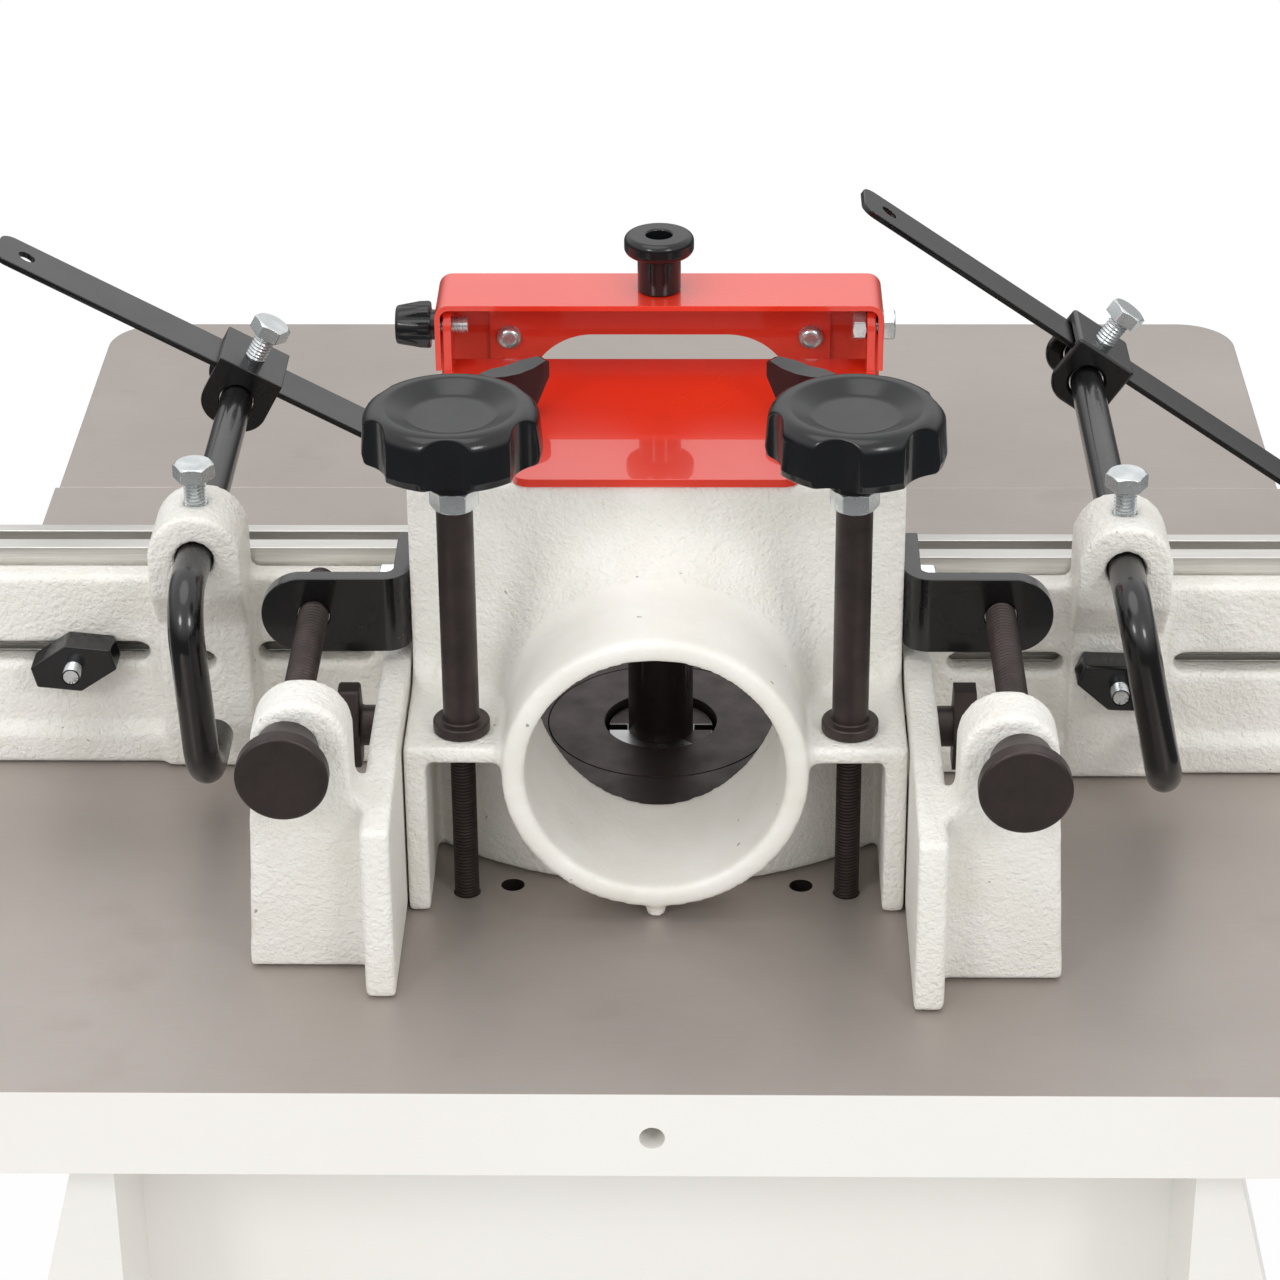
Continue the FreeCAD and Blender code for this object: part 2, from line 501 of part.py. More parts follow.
def make_cabinet():
    bottom = s.foot_height
    shell = pad("XZ", cabinet_outline(ZERO, bottom, UNDERSIDE), (-s.cabinet_front, s.cabinet_rear))
    hollow = pad("XZ", cabinet_outline(s.sheet, bottom + s.flange, UNDERSIDE - s.flange),
                 (s.sheet - s.cabinet_front, s.cabinet_rear - s.sheet))
    top_window = box((-s.top_window_half, s.top_window_half), (-s.top_window_depth, s.top_window_depth),
                     (UNDERSIDE - s.flange - s.overrun, UNDERSIDE + s.overrun))
    base_window = box((-s.base_window_half, s.base_window_half), (-s.base_window_depth, s.base_window_depth),
                      (bottom - s.overrun, bottom + s.flange + s.overrun))
    recess_front = s.cabinet_rear - s.recess_depth
    window = (-s.rear_window_half, s.rear_window_half)
    window_height = (s.rear_window_bottom, s.rear_window_top)
    frame_half = s.rear_window_half + s.sheet
    frame = box((-frame_half, frame_half), (recess_front, s.cabinet_rear),
                (s.rear_window_bottom - s.sheet, s.rear_window_top + s.sheet))
    opening = box(window, (recess_front - s.overrun, s.cabinet_rear + s.overrun), window_height)
    shaft_hole = cylinder("Y", s.wheel_shaft_radius + s.slide_gap, (-s.screw_place_x, s.gear_height),
                          (-s.cabinet_front - s.overrun, s.sheet - s.cabinet_front + s.overrun))
    feet = [(x * (s.cabinet_base_half - s.foot_inset), y) for x in (1, -1)
            for y in (s.foot_inset - s.cabinet_front, s.cabinet_rear - s.foot_inset)]
    foot_holes = [cylinder("Z", s.foot_stud_radius, at, (bottom - s.overrun, bottom + s.flange + s.overrun))
                  for at in feet]
    bolts = [(side * s.rib_outer - side * (s.rib_outer - s.rib_inner) / 2, y)
             for side in (1, -1) for y in (-s.table_bolt_front, s.table_bolt_rear)]
    bolt_holes = [cylinder("Z", s.table_bolt_radius + s.slide_gap, at,
                           (UNDERSIDE - s.flange - s.overrun, UNDERSIDE + s.overrun)) for at in bolts]
    walls = fuse(cut(shell, hollow), frame)
    holes = [top_window, base_window, opening, shaft_hole, *foot_holes, *bolt_holes]
    node("cabinet_shell", cut(walls, *holes))
    panel_half = s.rear_window_half + s.panel_overlap
    node("rear_panel", box((-panel_half, panel_half), (recess_front - s.sheet, recess_front),
                           (s.rear_window_bottom - s.panel_overlap, s.rear_window_top + s.panel_overlap / 2)))
    node("levelling_feet", *[fuse(
        turned("Z", [(ZERO, ZERO), (s.foot_radius, ZERO), (s.foot_radius, s.foot_height / 2),
                     (s.foot_stud_radius * 2, s.foot_height), (ZERO, s.foot_height)], at),
        cylinder("Z", s.foot_stud_radius, at, (s.foot_height / 2, s.foot_height + s.flange * 2)),
    ) for at in feet])
    head_top = UNDERSIDE - s.flange
    node("table_bolts", *[fuse(
        hexagon("Z", s.table_bolt_across, at, (head_top - s.table_bolt_head, head_top)),
        cylinder("Z", s.table_bolt_radius, at, (head_top - s.table_bolt_head, UNDERSIDE)),
    ) for at in bolts])


def make_lift_way():
    way_rear = s.way_front + s.way_thickness
    plate = box((-s.way_half_width, s.way_half_width), (s.way_front, way_rear), (s.way_bottom, UNDERSIDE))
    flange = box((-s.way_flange_half, s.way_flange_half), (s.way_front, s.way_flange_rear),
                 (UNDERSIDE - s.way_flange_thickness, UNDERSIDE))
    face = s.way_front - s.rail_depth
    rail = pad("XY", [(-s.rail_root_half, s.way_front + s.overrun), (-s.rail_root_half, s.way_front),
                      (-s.rail_face_half, face), (s.rail_face_half, face), (s.rail_root_half, s.way_front),
                      (s.rail_root_half, s.way_front + s.overrun)],
               (s.way_bottom, UNDERSIDE - s.way_flange_thickness))
    node("lift_way", fuse(plate, flange, rail))
    plate_low = s.gear_height + s.bracket_gap_height
    left, right = -s.screw_place_x - s.bracket_half, -s.way_half_width
    bracket = pad("YZ", [
        (-s.bracket_front, s.bracket_bottom), (s.bracket_plate - s.bracket_front, s.bracket_bottom),
        (s.bracket_plate - s.bracket_front, plate_low), (way_rear, plate_low),
        (way_rear, plate_low + s.bracket_plate), (-s.bracket_front, plate_low + s.bracket_plate),
    ], (left, right))
    screw_hole = cylinder("Z", s.screw_radius + s.running_gap, (-s.screw_place_x, s.screw_place_y),
                          (plate_low - s.overrun, plate_low + s.bracket_plate + s.overrun))
    shaft_hole = cylinder("Y", s.wheel_shaft_radius + s.running_gap, (-s.screw_place_x, s.gear_height),
                          (-s.bracket_front - s.overrun, s.bracket_plate - s.bracket_front + s.overrun))
    node("gear_bracket", cut(bracket, screw_hole, shaft_hole))


def make_carriage():
    low, high = TUBE_BOTTOM, TUBE_TOP
    tube = cylinder("Z", s.tube_radius, AXIS, (low, high))
    shoe = box((-s.way_half_width, s.way_half_width), (s.shoe_front, s.way_front - s.slide_gap), (low, high))
    plate_top = low + s.carriage_plate_thickness
    neck = box((ZERO, s.plate_inner + s.overrun), (-s.plate_neck_half, s.plate_neck_half), (low, plate_top))
    plate = box((s.plate_inner, s.plate_outer), (-s.plate_half_depth, s.plate_half_depth), (low, plate_top))
    posts = [cylinder("Z", s.post_radius, (s.motor_place + x * s.post_span, y * s.post_spread),
                      (s.motor_top + s.motor_flange_thickness, low + s.overrun))
             for x in (1, -1) for y in (1, -1)]
    arm_low = low + s.nut_arm_lift
    arm_top = arm_low + s.nut_arm_height
    arm_span = (s.screw_place_y - s.nut_arm_half, s.screw_place_y + s.nut_arm_half)
    arm = box((-s.nut_arm_reach, ZERO), arm_span, (arm_low, arm_top))
    gap = s.slide_gap
    face = s.way_front - s.rail_depth - gap
    mouth = s.way_front + s.overrun
    root_half, face_half = s.rail_root_half + gap * 2, s.rail_face_half + gap * 2
    through = (low - s.overrun, high + s.overrun)
    groove = pad("XY", [(-root_half, mouth), (-root_half, s.way_front), (-face_half, face),
                        (face_half, face), (root_half, s.way_front), (root_half, mouth)], through)
    bore = cylinder("Z", s.bearing_radius, AXIS, through)
    nut_hole = cylinder("Z", s.screw_radius + s.slide_gap, (-s.screw_place_x, s.screw_place_y),
                        (arm_low - s.overrun, arm_top + s.overrun))
    node("lift_slide", cut(fuse(tube, shoe, neck, plate, arm, *posts), groove, bore, nut_hole))
    lower, upper = low + s.bearing_inset, high - s.bearing_inset
    node("spindle_bearings", *[
        ring("Z", s.bearing_radius, s.spindle_radius + s.running_gap, AXIS, span)
        for span in ((lower, lower + s.bearing_width), (upper - s.bearing_width, upper))])


def make_spindle():
    seat = s.pulley_bottom + s.pulley_width
    flange_low = TOP - s.flange_drop
    flange_top = flange_low + s.flange_thickness
    shaft = turned("Z", [
        (ZERO, s.spindle_foot), (s.pulley_seat_radius, s.spindle_foot), (s.pulley_seat_radius, seat),
        (s.spindle_radius, seat), (s.spindle_radius, flange_low), (s.flange_radius, flange_low),
        (s.flange_radius, flange_top), (s.arbor_radius, flange_top),
        (s.arbor_radius, TOP + s.arbor_top), (ZERO, TOP + s.arbor_top)], AXIS)
    bore = s.arbor_radius + s.running_gap
    slot_half = s.spanner_slot_width / 2
    slots = [box((side * (s.flange_radius - s.spanner_slot_depth), side * (s.flange_radius + s.overrun)),
                 (-slot_half, slot_half), (flange_low, flange_top + s.overrun)) for side in (1, -1)]
    node("spindle_shaft", cut(shaft, *slots))
    levels = [flange_top + s.collar_height * index for index in range(s.collar_count.value + 1)]
    spans = zip(levels, levels[1:])
    node("spacer_collars", *[ring("Z", s.collar_radius, bore, AXIS, span) for span in spans])
    nut = hexagon("Z", s.spindle_nut_across, AXIS, (levels[-1], levels[-1] + s.spindle_nut_height))
    hole = cylinder("Z", bore, AXIS, (levels[-1] - s.overrun, levels[-1] + s.spindle_nut_height + s.overrun))
    node("spindle_nut", cut(nut, hole))


def pulley(radius, bore, at):
    """A vee pulley whose groove holds the belt with a little room."""
    low, high = s.pulley_bottom, s.pulley_bottom + s.pulley_width
    middle = low + s.pulley_width / 2
    floor = radius - s.belt_depth
    half = s.belt_width / 2 + s.groove_gap
    return turned("Z", [(bore, low), (radius, low), (radius, middle - half), (floor, middle - half),
                        (floor, middle + half), (radius, middle + half), (radius, high), (bore, high)], at)


def belt_loop(motor_radius, spindle_radius, half):
    """The solid that a belt would wrap: two discs and the block between their tangents."""
    lean_share = (motor_radius.value - spindle_radius.value) / s.motor_place.value
    rise_share = math.sqrt(1 - lean_share ** 2)
    middle = s.pulley_bottom + s.pulley_width / 2
    span = (middle - half, middle + half)
    spindle_x, motor_x = -(spindle_radius * lean_share), s.motor_place - motor_radius * lean_share
    wedge = pad("XY", [(spindle_x, -(spindle_radius * rise_share)), (motor_x, -(motor_radius * rise_share)),
                       (motor_x, motor_radius * rise_share), (spindle_x, spindle_radius * rise_share)], span)
    spindle_disc = cylinder("Z", spindle_radius, AXIS, span)
    motor_disc = cylinder("Z", motor_radius, (s.motor_place, ZERO), span)
    return fuse(spindle_disc, motor_disc, wedge)


def make_drive():
    motor_at = (s.motor_place, ZERO)
    flange_top = s.motor_top + s.motor_flange_thickness
    half = s.motor_flange_half
    cap_low = s.motor_bottom - s.motor_cap_height
    body = turned("Z", [
        (ZERO, cap_low), (s.motor_cap_radius, cap_low), (s.motor_radius, s.motor_bottom),
        (s.motor_radius, s.motor_top), (ZERO, s.motor_top)], motor_at)
    flange = box((s.motor_place - half, s.motor_place + half), (-half, half), (s.motor_top, flange_top))
    shaft_low = flange_top - s.motor_shaft_depth
    shaft_hole = cylinder("Z", s.motor_shaft_radius + s.running_gap, motor_at,
                          (shaft_low - s.slide_gap, flange_top + s.overrun))
    node("motor", cut(fuse(body, flange), shaft_hole))
    pulley_top = s.pulley_bottom + s.pulley_width
    shaft = cylinder("Z", s.motor_shaft_radius, motor_at, (shaft_low, pulley_top))
    node("motor_rotor", fuse(shaft, pulley(s.motor_pulley_radius, s.motor_shaft_radius / 2, motor_at)))
    node("spindle_pulley", pulley(s.spindle_pulley_radius, s.pulley_seat_radius, AXIS))
    outer = belt_loop(s.motor_pulley_radius, s.spindle_pulley_radius, s.belt_width / 2)
    belt_inside = s.belt_depth - s.groove_gap
    inner = belt_loop(s.motor_pulley_radius - belt_inside, s.spindle_pulley_radius - belt_inside,
                      s.belt_width / 2 + s.overrun)
    node("drive_belt", cut(outer, inner))


def make_height_gear():
    screw_at = (-s.screw_place_x, s.screw_place_y)
    shaft_at = (-s.screw_place_x, s.gear_height)
    bracket_low = s.gear_height + s.bracket_gap_height
    bracket_top = bracket_low + s.bracket_plate
    near, far = s.gear_near - s.gear_gap, s.gear_far - s.gear_gap
    node("lift_screw", fuse(
        cone("Z", (near, far), screw_at, (s.gear_height + s.gear_near, s.gear_height + s.gear_far)),
        cylinder("Z", s.gear_hub_radius, screw_at, (s.gear_height + s.gear_far, bracket_low - s.slide_gap)),
        cylinder("Z", s.screw_radius, screw_at, (s.gear_height + s.gear_near, s.screw_top)),
        cylinder("Z", s.screw_collar_radius, screw_at,
                 (bracket_top + s.slide_gap, bracket_top + s.slide_gap + s.screw_collar_height))))
    near_y, far_y = s.screw_place_y - s.gear_near, s.screw_place_y - s.gear_far
    bracket_face = s.bracket_plate - s.bracket_front
    wheel_hub_front = -s.wheel_place - s.wheel_hub_length / 2
    node("handwheel_shaft", fuse(
        cone("Y", (near, far), shaft_at, (near_y, far_y)),
        cylinder("Y", s.gear_hub_radius, shaft_at, (far_y, bracket_face + s.slide_gap)),
        cylinder("Y", s.wheel_shaft_radius, shaft_at, (near_y, wheel_hub_front))))
    rim = doc.addObject("Part::Torus", "rim")
    bind(rim, Radius1=s.wheel_radius, Radius2=s.wheel_rim)
    along(rim, "Y", shaft_at, -s.wheel_place)
    hub_span = (wheel_hub_front, s.wheel_hub_length / 2 - s.wheel_place)
    hub = ring("Y", s.wheel_hub_radius, s.wheel_shaft_radius, shaft_at, hub_span)
    spokes = []
    root = (s.wheel_hub_radius + s.wheel_shaft_radius) / 2
    for cosine, sine in polar(s.spoke_count):
        spoke = doc.addObject("Part::Cylinder", "spoke")
        bind(spoke, Radius=s.spoke_radius, Height=s.wheel_radius - root)
        turn = math.degrees(math.atan2(sine, cosine))
        put(spoke, shaft_at[0] + root * sine, -s.wheel_place, shaft_at[1] + root * cosine, "Y", turn)
        spokes.append(spoke)
    grip_at = (-s.screw_place_x, s.gear_height + s.wheel_radius)
    pin_front = -s.wheel_place - s.wheel_rim - s.grip_neck - s.grip_length
    pin = cylinder("Y", s.grip_pin_radius, grip_at, (pin_front, -s.wheel_place))
    node("handwheel", fuse(rim, hub, pin, *spokes))
    grip_rear = -s.wheel_place - s.wheel_rim - s.slide_gap
    grip_front = grip_rear - s.grip_length
    grip_bore = s.grip_pin_radius + s.running_gap
    node("handwheel_grip", turned("Y", [
        (grip_bore, grip_rear), (s.grip_radius * s.grip_tail_share, grip_rear),
        (s.grip_radius, grip_rear - s.grip_length * s.grip_belly_share),
        (s.grip_radius * s.grip_nose_share, grip_front), (grip_bore, grip_front)], grip_at))


def make_switch():
    front = -s.cabinet_front - s.switch_depth
    left, right = s.switch_place - s.switch_half_width, s.switch_place + s.switch_half_width
    case = pad("XZ", [(left, s.switch_bottom, s.switch_corner), (right, s.switch_bottom, s.switch_corner),
                      (right, s.switch_top, s.switch_corner), (left, s.switch_top, s.switch_corner)],
               (front, -s.cabinet_front))
    middle = (s.switch_bottom + s.switch_top) / 2
    places = {"on_button": (s.on_radius, middle + s.button_spread),
              "off_button": (s.off_radius, middle - s.button_spread)}
    well_span = (front - s.overrun, front + s.button_well)
    wells = [cylinder("Y", radius + s.slide_gap, (s.switch_place, level), well_span)
             for radius, level in places.values()]
    node("switch_box", cut(case, *wells))
    for name, (radius, level) in places.items():
        node(name, cylinder("Y", radius, (s.switch_place, level),
                            (front - s.button_stand, front + s.button_well - s.button_travel)))


def make_housing():
    top, roof_under = TOP + s.housing_top, TOP + s.housing_top - s.roof
    shelf_top, shelf_under = TOP + s.shelf_top, TOP + s.shelf_top - s.shelf_thickness
    lip_low = TOP + s.lip_height
    side_outline = [
        (s.housing_front, TOP), (s.leg_rear, TOP), (s.leg_rear, shelf_top),
        (s.back_wall, shelf_top, s.shoulder_round), (s.back_wall, top), (-s.lip_front, top),
        (-s.lip_front, lip_low + s.lip_rise), (s.housing_front, lip_low)]
    inner_half = s.housing_half - s.housing_wall
    walls = [pad("YZ", side_outline, (side * inner_half, side * s.housing_half)) for side in (1, -1)]
    across = (-inner_half - s.overrun, inner_half + s.overrun)
    wall_front = s.back_wall - s.housing_wall
    roof = box(across, (-s.lip_front, s.back_wall), (roof_under, top))
    back = box(across, (wall_front, s.back_wall), (shelf_under, top))
    shelf = box(across, (wall_front, s.leg_rear), (shelf_under, shelf_top))
    drum = common(cylinder("Z", s.drum_radius, AXIS, (TOP, shelf_top)),
                  box(across, (s.housing_front, s.drum_radius), (TOP, shelf_top)))
    port_at = (ZERO, TOP + s.port_height)
    flare = s.housing_top - s.port_height - s.port_radius
    rim_radius = s.port_radius + flare
    bell = turned("Y", [(ZERO, wall_front), (rim_radius, wall_front), (rim_radius, s.back_wall),
                        (s.port_radius, s.back_wall, flare * FULL_ROUND_SHARE), (s.port_radius, s.port_rear),
                        (ZERO, s.port_rear)], port_at)
    above_shelf = box((-s.housing_half, s.housing_half), (wall_front, s.port_rear), (shelf_under, top))
    tube = cylinder("Y", s.port_radius, port_at, (wall_front, s.port_rear))
    foot = cylinder("Z", s.foot_boss_radius, (ZERO, s.foot_boss_place),
                    (TOP, TOP + s.port_height - s.port_bore))
    casting = fuse(*walls, roof, back, shelf, drum, common(bell, above_shelf), tube, foot)
    port_wall = s.port_radius - s.port_bore
    inner_bell = turned("Y", [
        (ZERO, wall_front - s.overrun), (rim_radius - port_wall, wall_front - s.overrun),
        (rim_radius - port_wall, s.back_wall - port_wall),
        (s.port_bore, s.back_wall - port_wall, flare * FULL_ROUND_SHARE),
        (s.port_bore, s.port_rear + s.overrun), (ZERO, s.port_rear + s.overrun)], port_at)
    inside = (-inner_half, inner_half)
    bell_room = box(inside, (-s.lip_front, s.port_rear + s.overrun), (shelf_under, roof_under))
    chamber = box(inside, (-s.lip_front - s.overrun, wall_front), (TOP - s.overrun, roof_under))
    drum_room = common(
        cylinder("Z", s.drum_radius - s.housing_wall, AXIS, (TOP - s.overrun, shelf_under)),
        box(inside, (s.housing_front, s.drum_radius), (TOP - s.overrun, shelf_under)))
    bore = cylinder("Y", s.port_bore, port_at, (wall_front, s.port_rear + s.overrun))
    holes = []
    for side in (1, -1):
        flank = (side * (inner_half - s.overrun), side * (s.housing_half + s.overrun))
        stud = (side * s.clamp_place, s.clamp_rear)
        knob = (side * s.guard_knob_place, s.guard_knob_rear)
        lock = (s.lock_place, TOP + s.lock_level)
        bolt = (s.bracket_bolt_place, TOP + s.adjust_height)
        holes += [
            cylinder("Z", s.stud_radius + s.slide_gap, stud,
                     (shelf_under - s.overrun, shelf_top + s.overrun)),
            cylinder("Z", s.guard_stud_radius + s.slide_gap, knob, (roof_under - s.overrun, top + s.overrun)),
            cylinder("X", s.lock_stud_radius + s.slide_gap, lock, flank),
            cylinder("X", s.bracket_bolt_radius, bolt, flank),
        ]
    node("fence_housing", cut(casting, chamber, drum_room, bore, common(inner_bell, bell_room), *holes))


def clamp_knob(at):
    low = TOP + s.sleeve_top + s.jam_nut_height + s.slide_gap
    high = low + s.clamp_knob_height
    rim = s.clamp_knob_radius
    shoulder, dish_floor = low + s.clamp_knob_neck, high - s.dish_depth
    head = turned("Z", [
        (ZERO, low), (s.clamp_knob_hub, low), (s.clamp_knob_hub, shoulder), (rim, shoulder, s.knob_round),
        (rim, high, s.knob_round), (s.dish_radius, high), (s.dish_radius * s.dish_floor_share, dish_floor),
        (ZERO, dish_floor)], at)
    pitch = rim + s.lobe_radius - s.lobe_depth
    lobe_span = (shoulder - s.overrun, high + s.overrun)
    scallops = [cylinder("Z", s.lobe_radius, (at[0] + pitch * sine, at[1] + pitch * cosine), lobe_span)
                for cosine, sine in polar(s.lobe_count)]
    hole = cylinder("Z", s.stud_radius + s.slide_gap, at, (low - s.overrun, TOP + s.stud_top + s.slide_gap))
    return cut(head, hole, *scallops)


def make_clamps():
    places = {name: (side * s.clamp_place, s.clamp_rear) for name, side in SIDES.items()}
    shelf, nut_low = TOP + s.shelf_top, TOP + s.sleeve_top
    sleeves, studs = [], []
    for at in places.values():
        tube = cylinder("Z", s.sleeve_radius, at, (shelf, nut_low))
        flange = cylinder("Z", s.sleeve_flange_radius, at, (shelf, shelf + s.sleeve_flange_height))
        bore = cylinder("Z", s.stud_radius + s.slide_gap, at, (shelf - s.overrun, nut_low + s.overrun))
        sleeves.append(cut(fuse(tube, flange), bore))
        studs.append(fuse(cylinder("Z", s.stud_radius, at, (TOP - s.stud_drop, TOP + s.stud_top)),
                          hexagon("Z", s.jam_nut_across, at, (nut_low, nut_low + s.jam_nut_height))))
    node("clamp_sleeves", *sleeves)
    node("clamp_studs", *studs)
    for name, at in places.items():
        node(f"clamp_knob_{name}", clamp_knob(at))


def fence_casting(side, setback):
    rear, front = s.fence_rear + setback, s.fence_rear - s.fence_plate + setback
    inner = s.housing_half + s.fence_gap
    low = TOP + s.slide_gap
    across = (side * inner, side * s.fence_reach)
    plate = box(across, (front, rear), (low, TOP + s.fence_height))
    foot_top = TOP + s.fence_foot_height
    foot = pad("YZ", [(front, low), (rear + s.fence_foot, low), (rear + s.fence_foot, foot_top),
                      (rear, foot_top + s.fence_foot), (front, foot_top + s.fence_foot)], across)
    cheek_rear, shoulder = s.side_rear + setback, s.side_shoulder + setback
    cheek = pad("YZ", [
        (front, low), (cheek_rear, low), (cheek_rear, TOP + s.side_toe),
        (shoulder, TOP + s.side_height, s.side_shoulder - s.back_wall), (front, TOP + s.side_height),
    ], (side * inner, side * (inner + s.side_plate)))
    centre, level = side * s.adjust_place, TOP + s.adjust_height
    web_rear, web_front = s.web_rear + setback, s.web_rear - s.web_thickness + setback
    boss_front, boss_rear = s.boss_front + setback, s.boss_rear + setback
    crown, boss_arch = level + s.boss_radius, s.boss_radius * FULL_ROUND_SHARE
    arch_outer, arch_inner = (side * (s.boss_place + sign * s.boss_radius) for sign in (1, -1))
    web_root = side * (inner + s.side_plate / 2)
    web_arch = pad("XZ", [
        (web_root, low), (side * s.web_outer, low), (arch_outer, crown, boss_arch),
        (arch_inner, crown, boss_arch), (arch_inner, TOP + s.side_height), (web_root, TOP + s.side_toe)],
        (boss_front, boss_rear))
    web_side = pad("YZ", [
        (web_front, low), (web_rear, low), (boss_rear, level), (boss_rear, crown + s.overrun),
        (boss_front, crown + s.overrun), (boss_front, level)], ordered(web_root, side * s.web_outer))
    post_left, post_right = ordered(side * (s.post_place - s.post_half), side * (s.post_place + s.post_half))
    post_top = TOP + s.rod_height + s.post_half
    post_rear, post_foot_rear = s.post_rear + setback, s.post_foot_rear + setback
    post_side = pad("YZ", [
        (front, low), (post_foot_rear, low), (post_foot_rear, TOP + s.post_foot_height),
        (post_rear, TOP + s.post_knee_height), (post_rear, post_top + s.overrun),
        (front, post_top + s.overrun)], (post_left, post_right))
    arch = s.post_half * FULL_ROUND_SHARE
    post_arch = pad("XZ", [(post_left, low), (post_right, low), (post_right, post_top, arch),
                           (post_left, post_top, arch)], (front, post_rear))
    casting = fuse(plate, foot, cheek, common(web_side, web_arch), common(post_side, post_arch))
    through = (front - s.overrun, post_rear + s.overrun)
    slot_level = TOP + s.slot_level
    slot_half = s.slot_height / 2
    holes = [
        cylinder("Y", s.rod_radius + s.rod_room, (side * s.post_place, TOP + s.rod_height), through),
        cylinder("Y", slot_half, (side * s.post_place, slot_level), through),
        cylinder("Y", s.adjust_screw_radius + s.slide_gap, (centre, level),
                 (boss_front - s.overrun, boss_rear + s.overrun)),
        cylinder("Z", s.post_bolt_radius, (side * s.post_place, s.post_bolt_rear + setback),
                 (TOP + s.rod_height, post_top + s.overrun)),
    ]
    plate_span = (front - s.overrun, rear + s.overrun)
    for start, end in ((s.outer_slot_start, s.outer_slot_end), (s.inner_slot_start, s.inner_slot_end)):
        ends = (side * (start + slot_half), side * (end - slot_half))
        holes.append(box(ends, plate_span, (slot_level - slot_half, slot_level + slot_half)))
        holes += [cylinder("Y", slot_half, (x, slot_level), plate_span) for x in ends]
    lock_half = s.lock_stud_radius + s.slide_gap * 2
    lock_level, lock_place = TOP + s.lock_level, s.lock_place + setback
    cheek_span = (side * (inner - s.overrun), side * (inner + s.side_plate + s.overrun))
    holes.append(box(cheek_span, (lock_place - s.lock_slot_half, lock_place + s.lock_slot_half),
                     (lock_level - lock_half, lock_level + lock_half)))
    return cut(casting, *holes)


def fence_board(side, setback):
    rear = s.fence_rear - s.fence_plate + setback - s.slide_gap
    front = rear - s.board_thickness
    low, high = TOP + s.board_lift, TOP + s.board_height
    neck, tee = s.tee_neck / 2, s.tee_width / 2
    level = TOP + s.slot_level
    neck_floor, tee_floor = rear - s.tee_neck_depth, rear - s.tee_neck_depth - s.tee_depth
    track_front = front + s.track_inset
    track_rear = track_front + s.track_width
    outline = [
        (front, low), (rear, low), (rear, level - neck), (neck_floor, level - neck),
        (neck_floor, level - tee), (tee_floor, level - tee), (tee_floor, level + tee),
        (neck_floor, level + tee), (neck_floor, level + neck), (rear, level + neck), (rear, high),
        (track_rear, high), (track_rear, high - s.track_depth), (track_front, high - s.track_depth),
        (track_front, high), (front, high)]
    return pad("YZ", outline, (side * s.board_inner, side * (s.board_inner + s.board_length)))


def wing_knob(x, seat, fence_front, turn):
    """A wing nut on a bolt whose head runs in the board's rear slot."""
    level = TOP + s.slot_level
    rear = seat + s.slide_gap + s.wing_thickness
    half, tall, tip = s.wing_half_length, s.wing_half_height, s.wing_tip_half
    wing = pad("XZ", [(-half, -tip), (ZERO, -tall), (half, -tip), (half, tip), (ZERO, tall), (-half, tip)],
               (seat + s.slide_gap, rear))
    put(wing, x, ZERO, level, "Y", turn)
    head_rear = fence_front - s.slide_gap * 2 - s.tee_neck_depth
    head_front = head_rear - s.board_bolt_head_height
    bolt = cylinder("Y", s.board_bolt_radius, (x, level), (head_front, rear + s.board_bolt_tail))
    head = cylinder("Y", s.board_bolt_head, (x, level), (head_front, head_rear))
    return fuse(wing, bolt, head)


def adjust_screw(side, setback):
    at = (side * s.adjust_place, TOP + s.adjust_height)
    knob_front = s.boss_rear + setback + s.slide_gap
    collar_rear = s.boss_front + setback - s.slide_gap
    screw_front = s.adjust_screw_front + setback
    rim, tip = s.adjust_knob_radius, knob_front + s.adjust_knob_length
    neck_end = knob_front + s.adjust_neck_length
    knob = turned("Y", [
        (ZERO, knob_front), (s.adjust_neck_radius, knob_front), (rim * s.adjust_flare_share, neck_end),
        (rim, neck_end, s.adjust_knob_round), (rim, tip, s.adjust_knob_round), (ZERO, tip)], at)
    return fuse(
        knob, cylinder("Y", s.adjust_screw_radius, at, (screw_front, neck_end)),
        cylinder("Y", s.adjust_collar_radius, at, (collar_rear - s.adjust_collar_length, collar_rear)))


def lock_knob(side):
    at = (s.lock_place, TOP + s.lock_level)
    seat = s.housing_half + s.fence_gap + s.side_plate + s.slide_gap
    hub_end = seat + s.lock_hub_length
    stud = cylinder("X", s.lock_stud_radius, at, (side * (s.housing_half - s.housing_wall), side * hub_end))
    hub = cylinder("X", s.lock_hub_radius, at, (side * seat, side * hub_end))
    half, tall, tip = s.wing_half_length, s.wing_half_height, s.wing_tip_half
    corners = [(-tip, -half), (tip, -half), (tall, ZERO), (tip, half), (-tip, half), (-tall, ZERO)]
    wing = pad("YZ", [(at[0] + y, at[1] + z) for y, z in corners],
               (side * hub_end, side * (hub_end + s.lock_wing_thickness)))
    return fuse(stud, hub, wing)


def post_bolt(side, setback):
    at = (side * s.post_place, s.post_bolt_rear + setback)
    head_top = TOP + s.post_bolt_top
    tip = TOP + s.rod_height + s.rod_radius + s.slide_gap
    return fuse(cylinder("Z", s.post_bolt_radius, at, (tip, head_top - s.post_bolt_head / 2)),
                hexagon("Z", s.post_bolt_across, at, (head_top - s.post_bolt_head, head_top)))


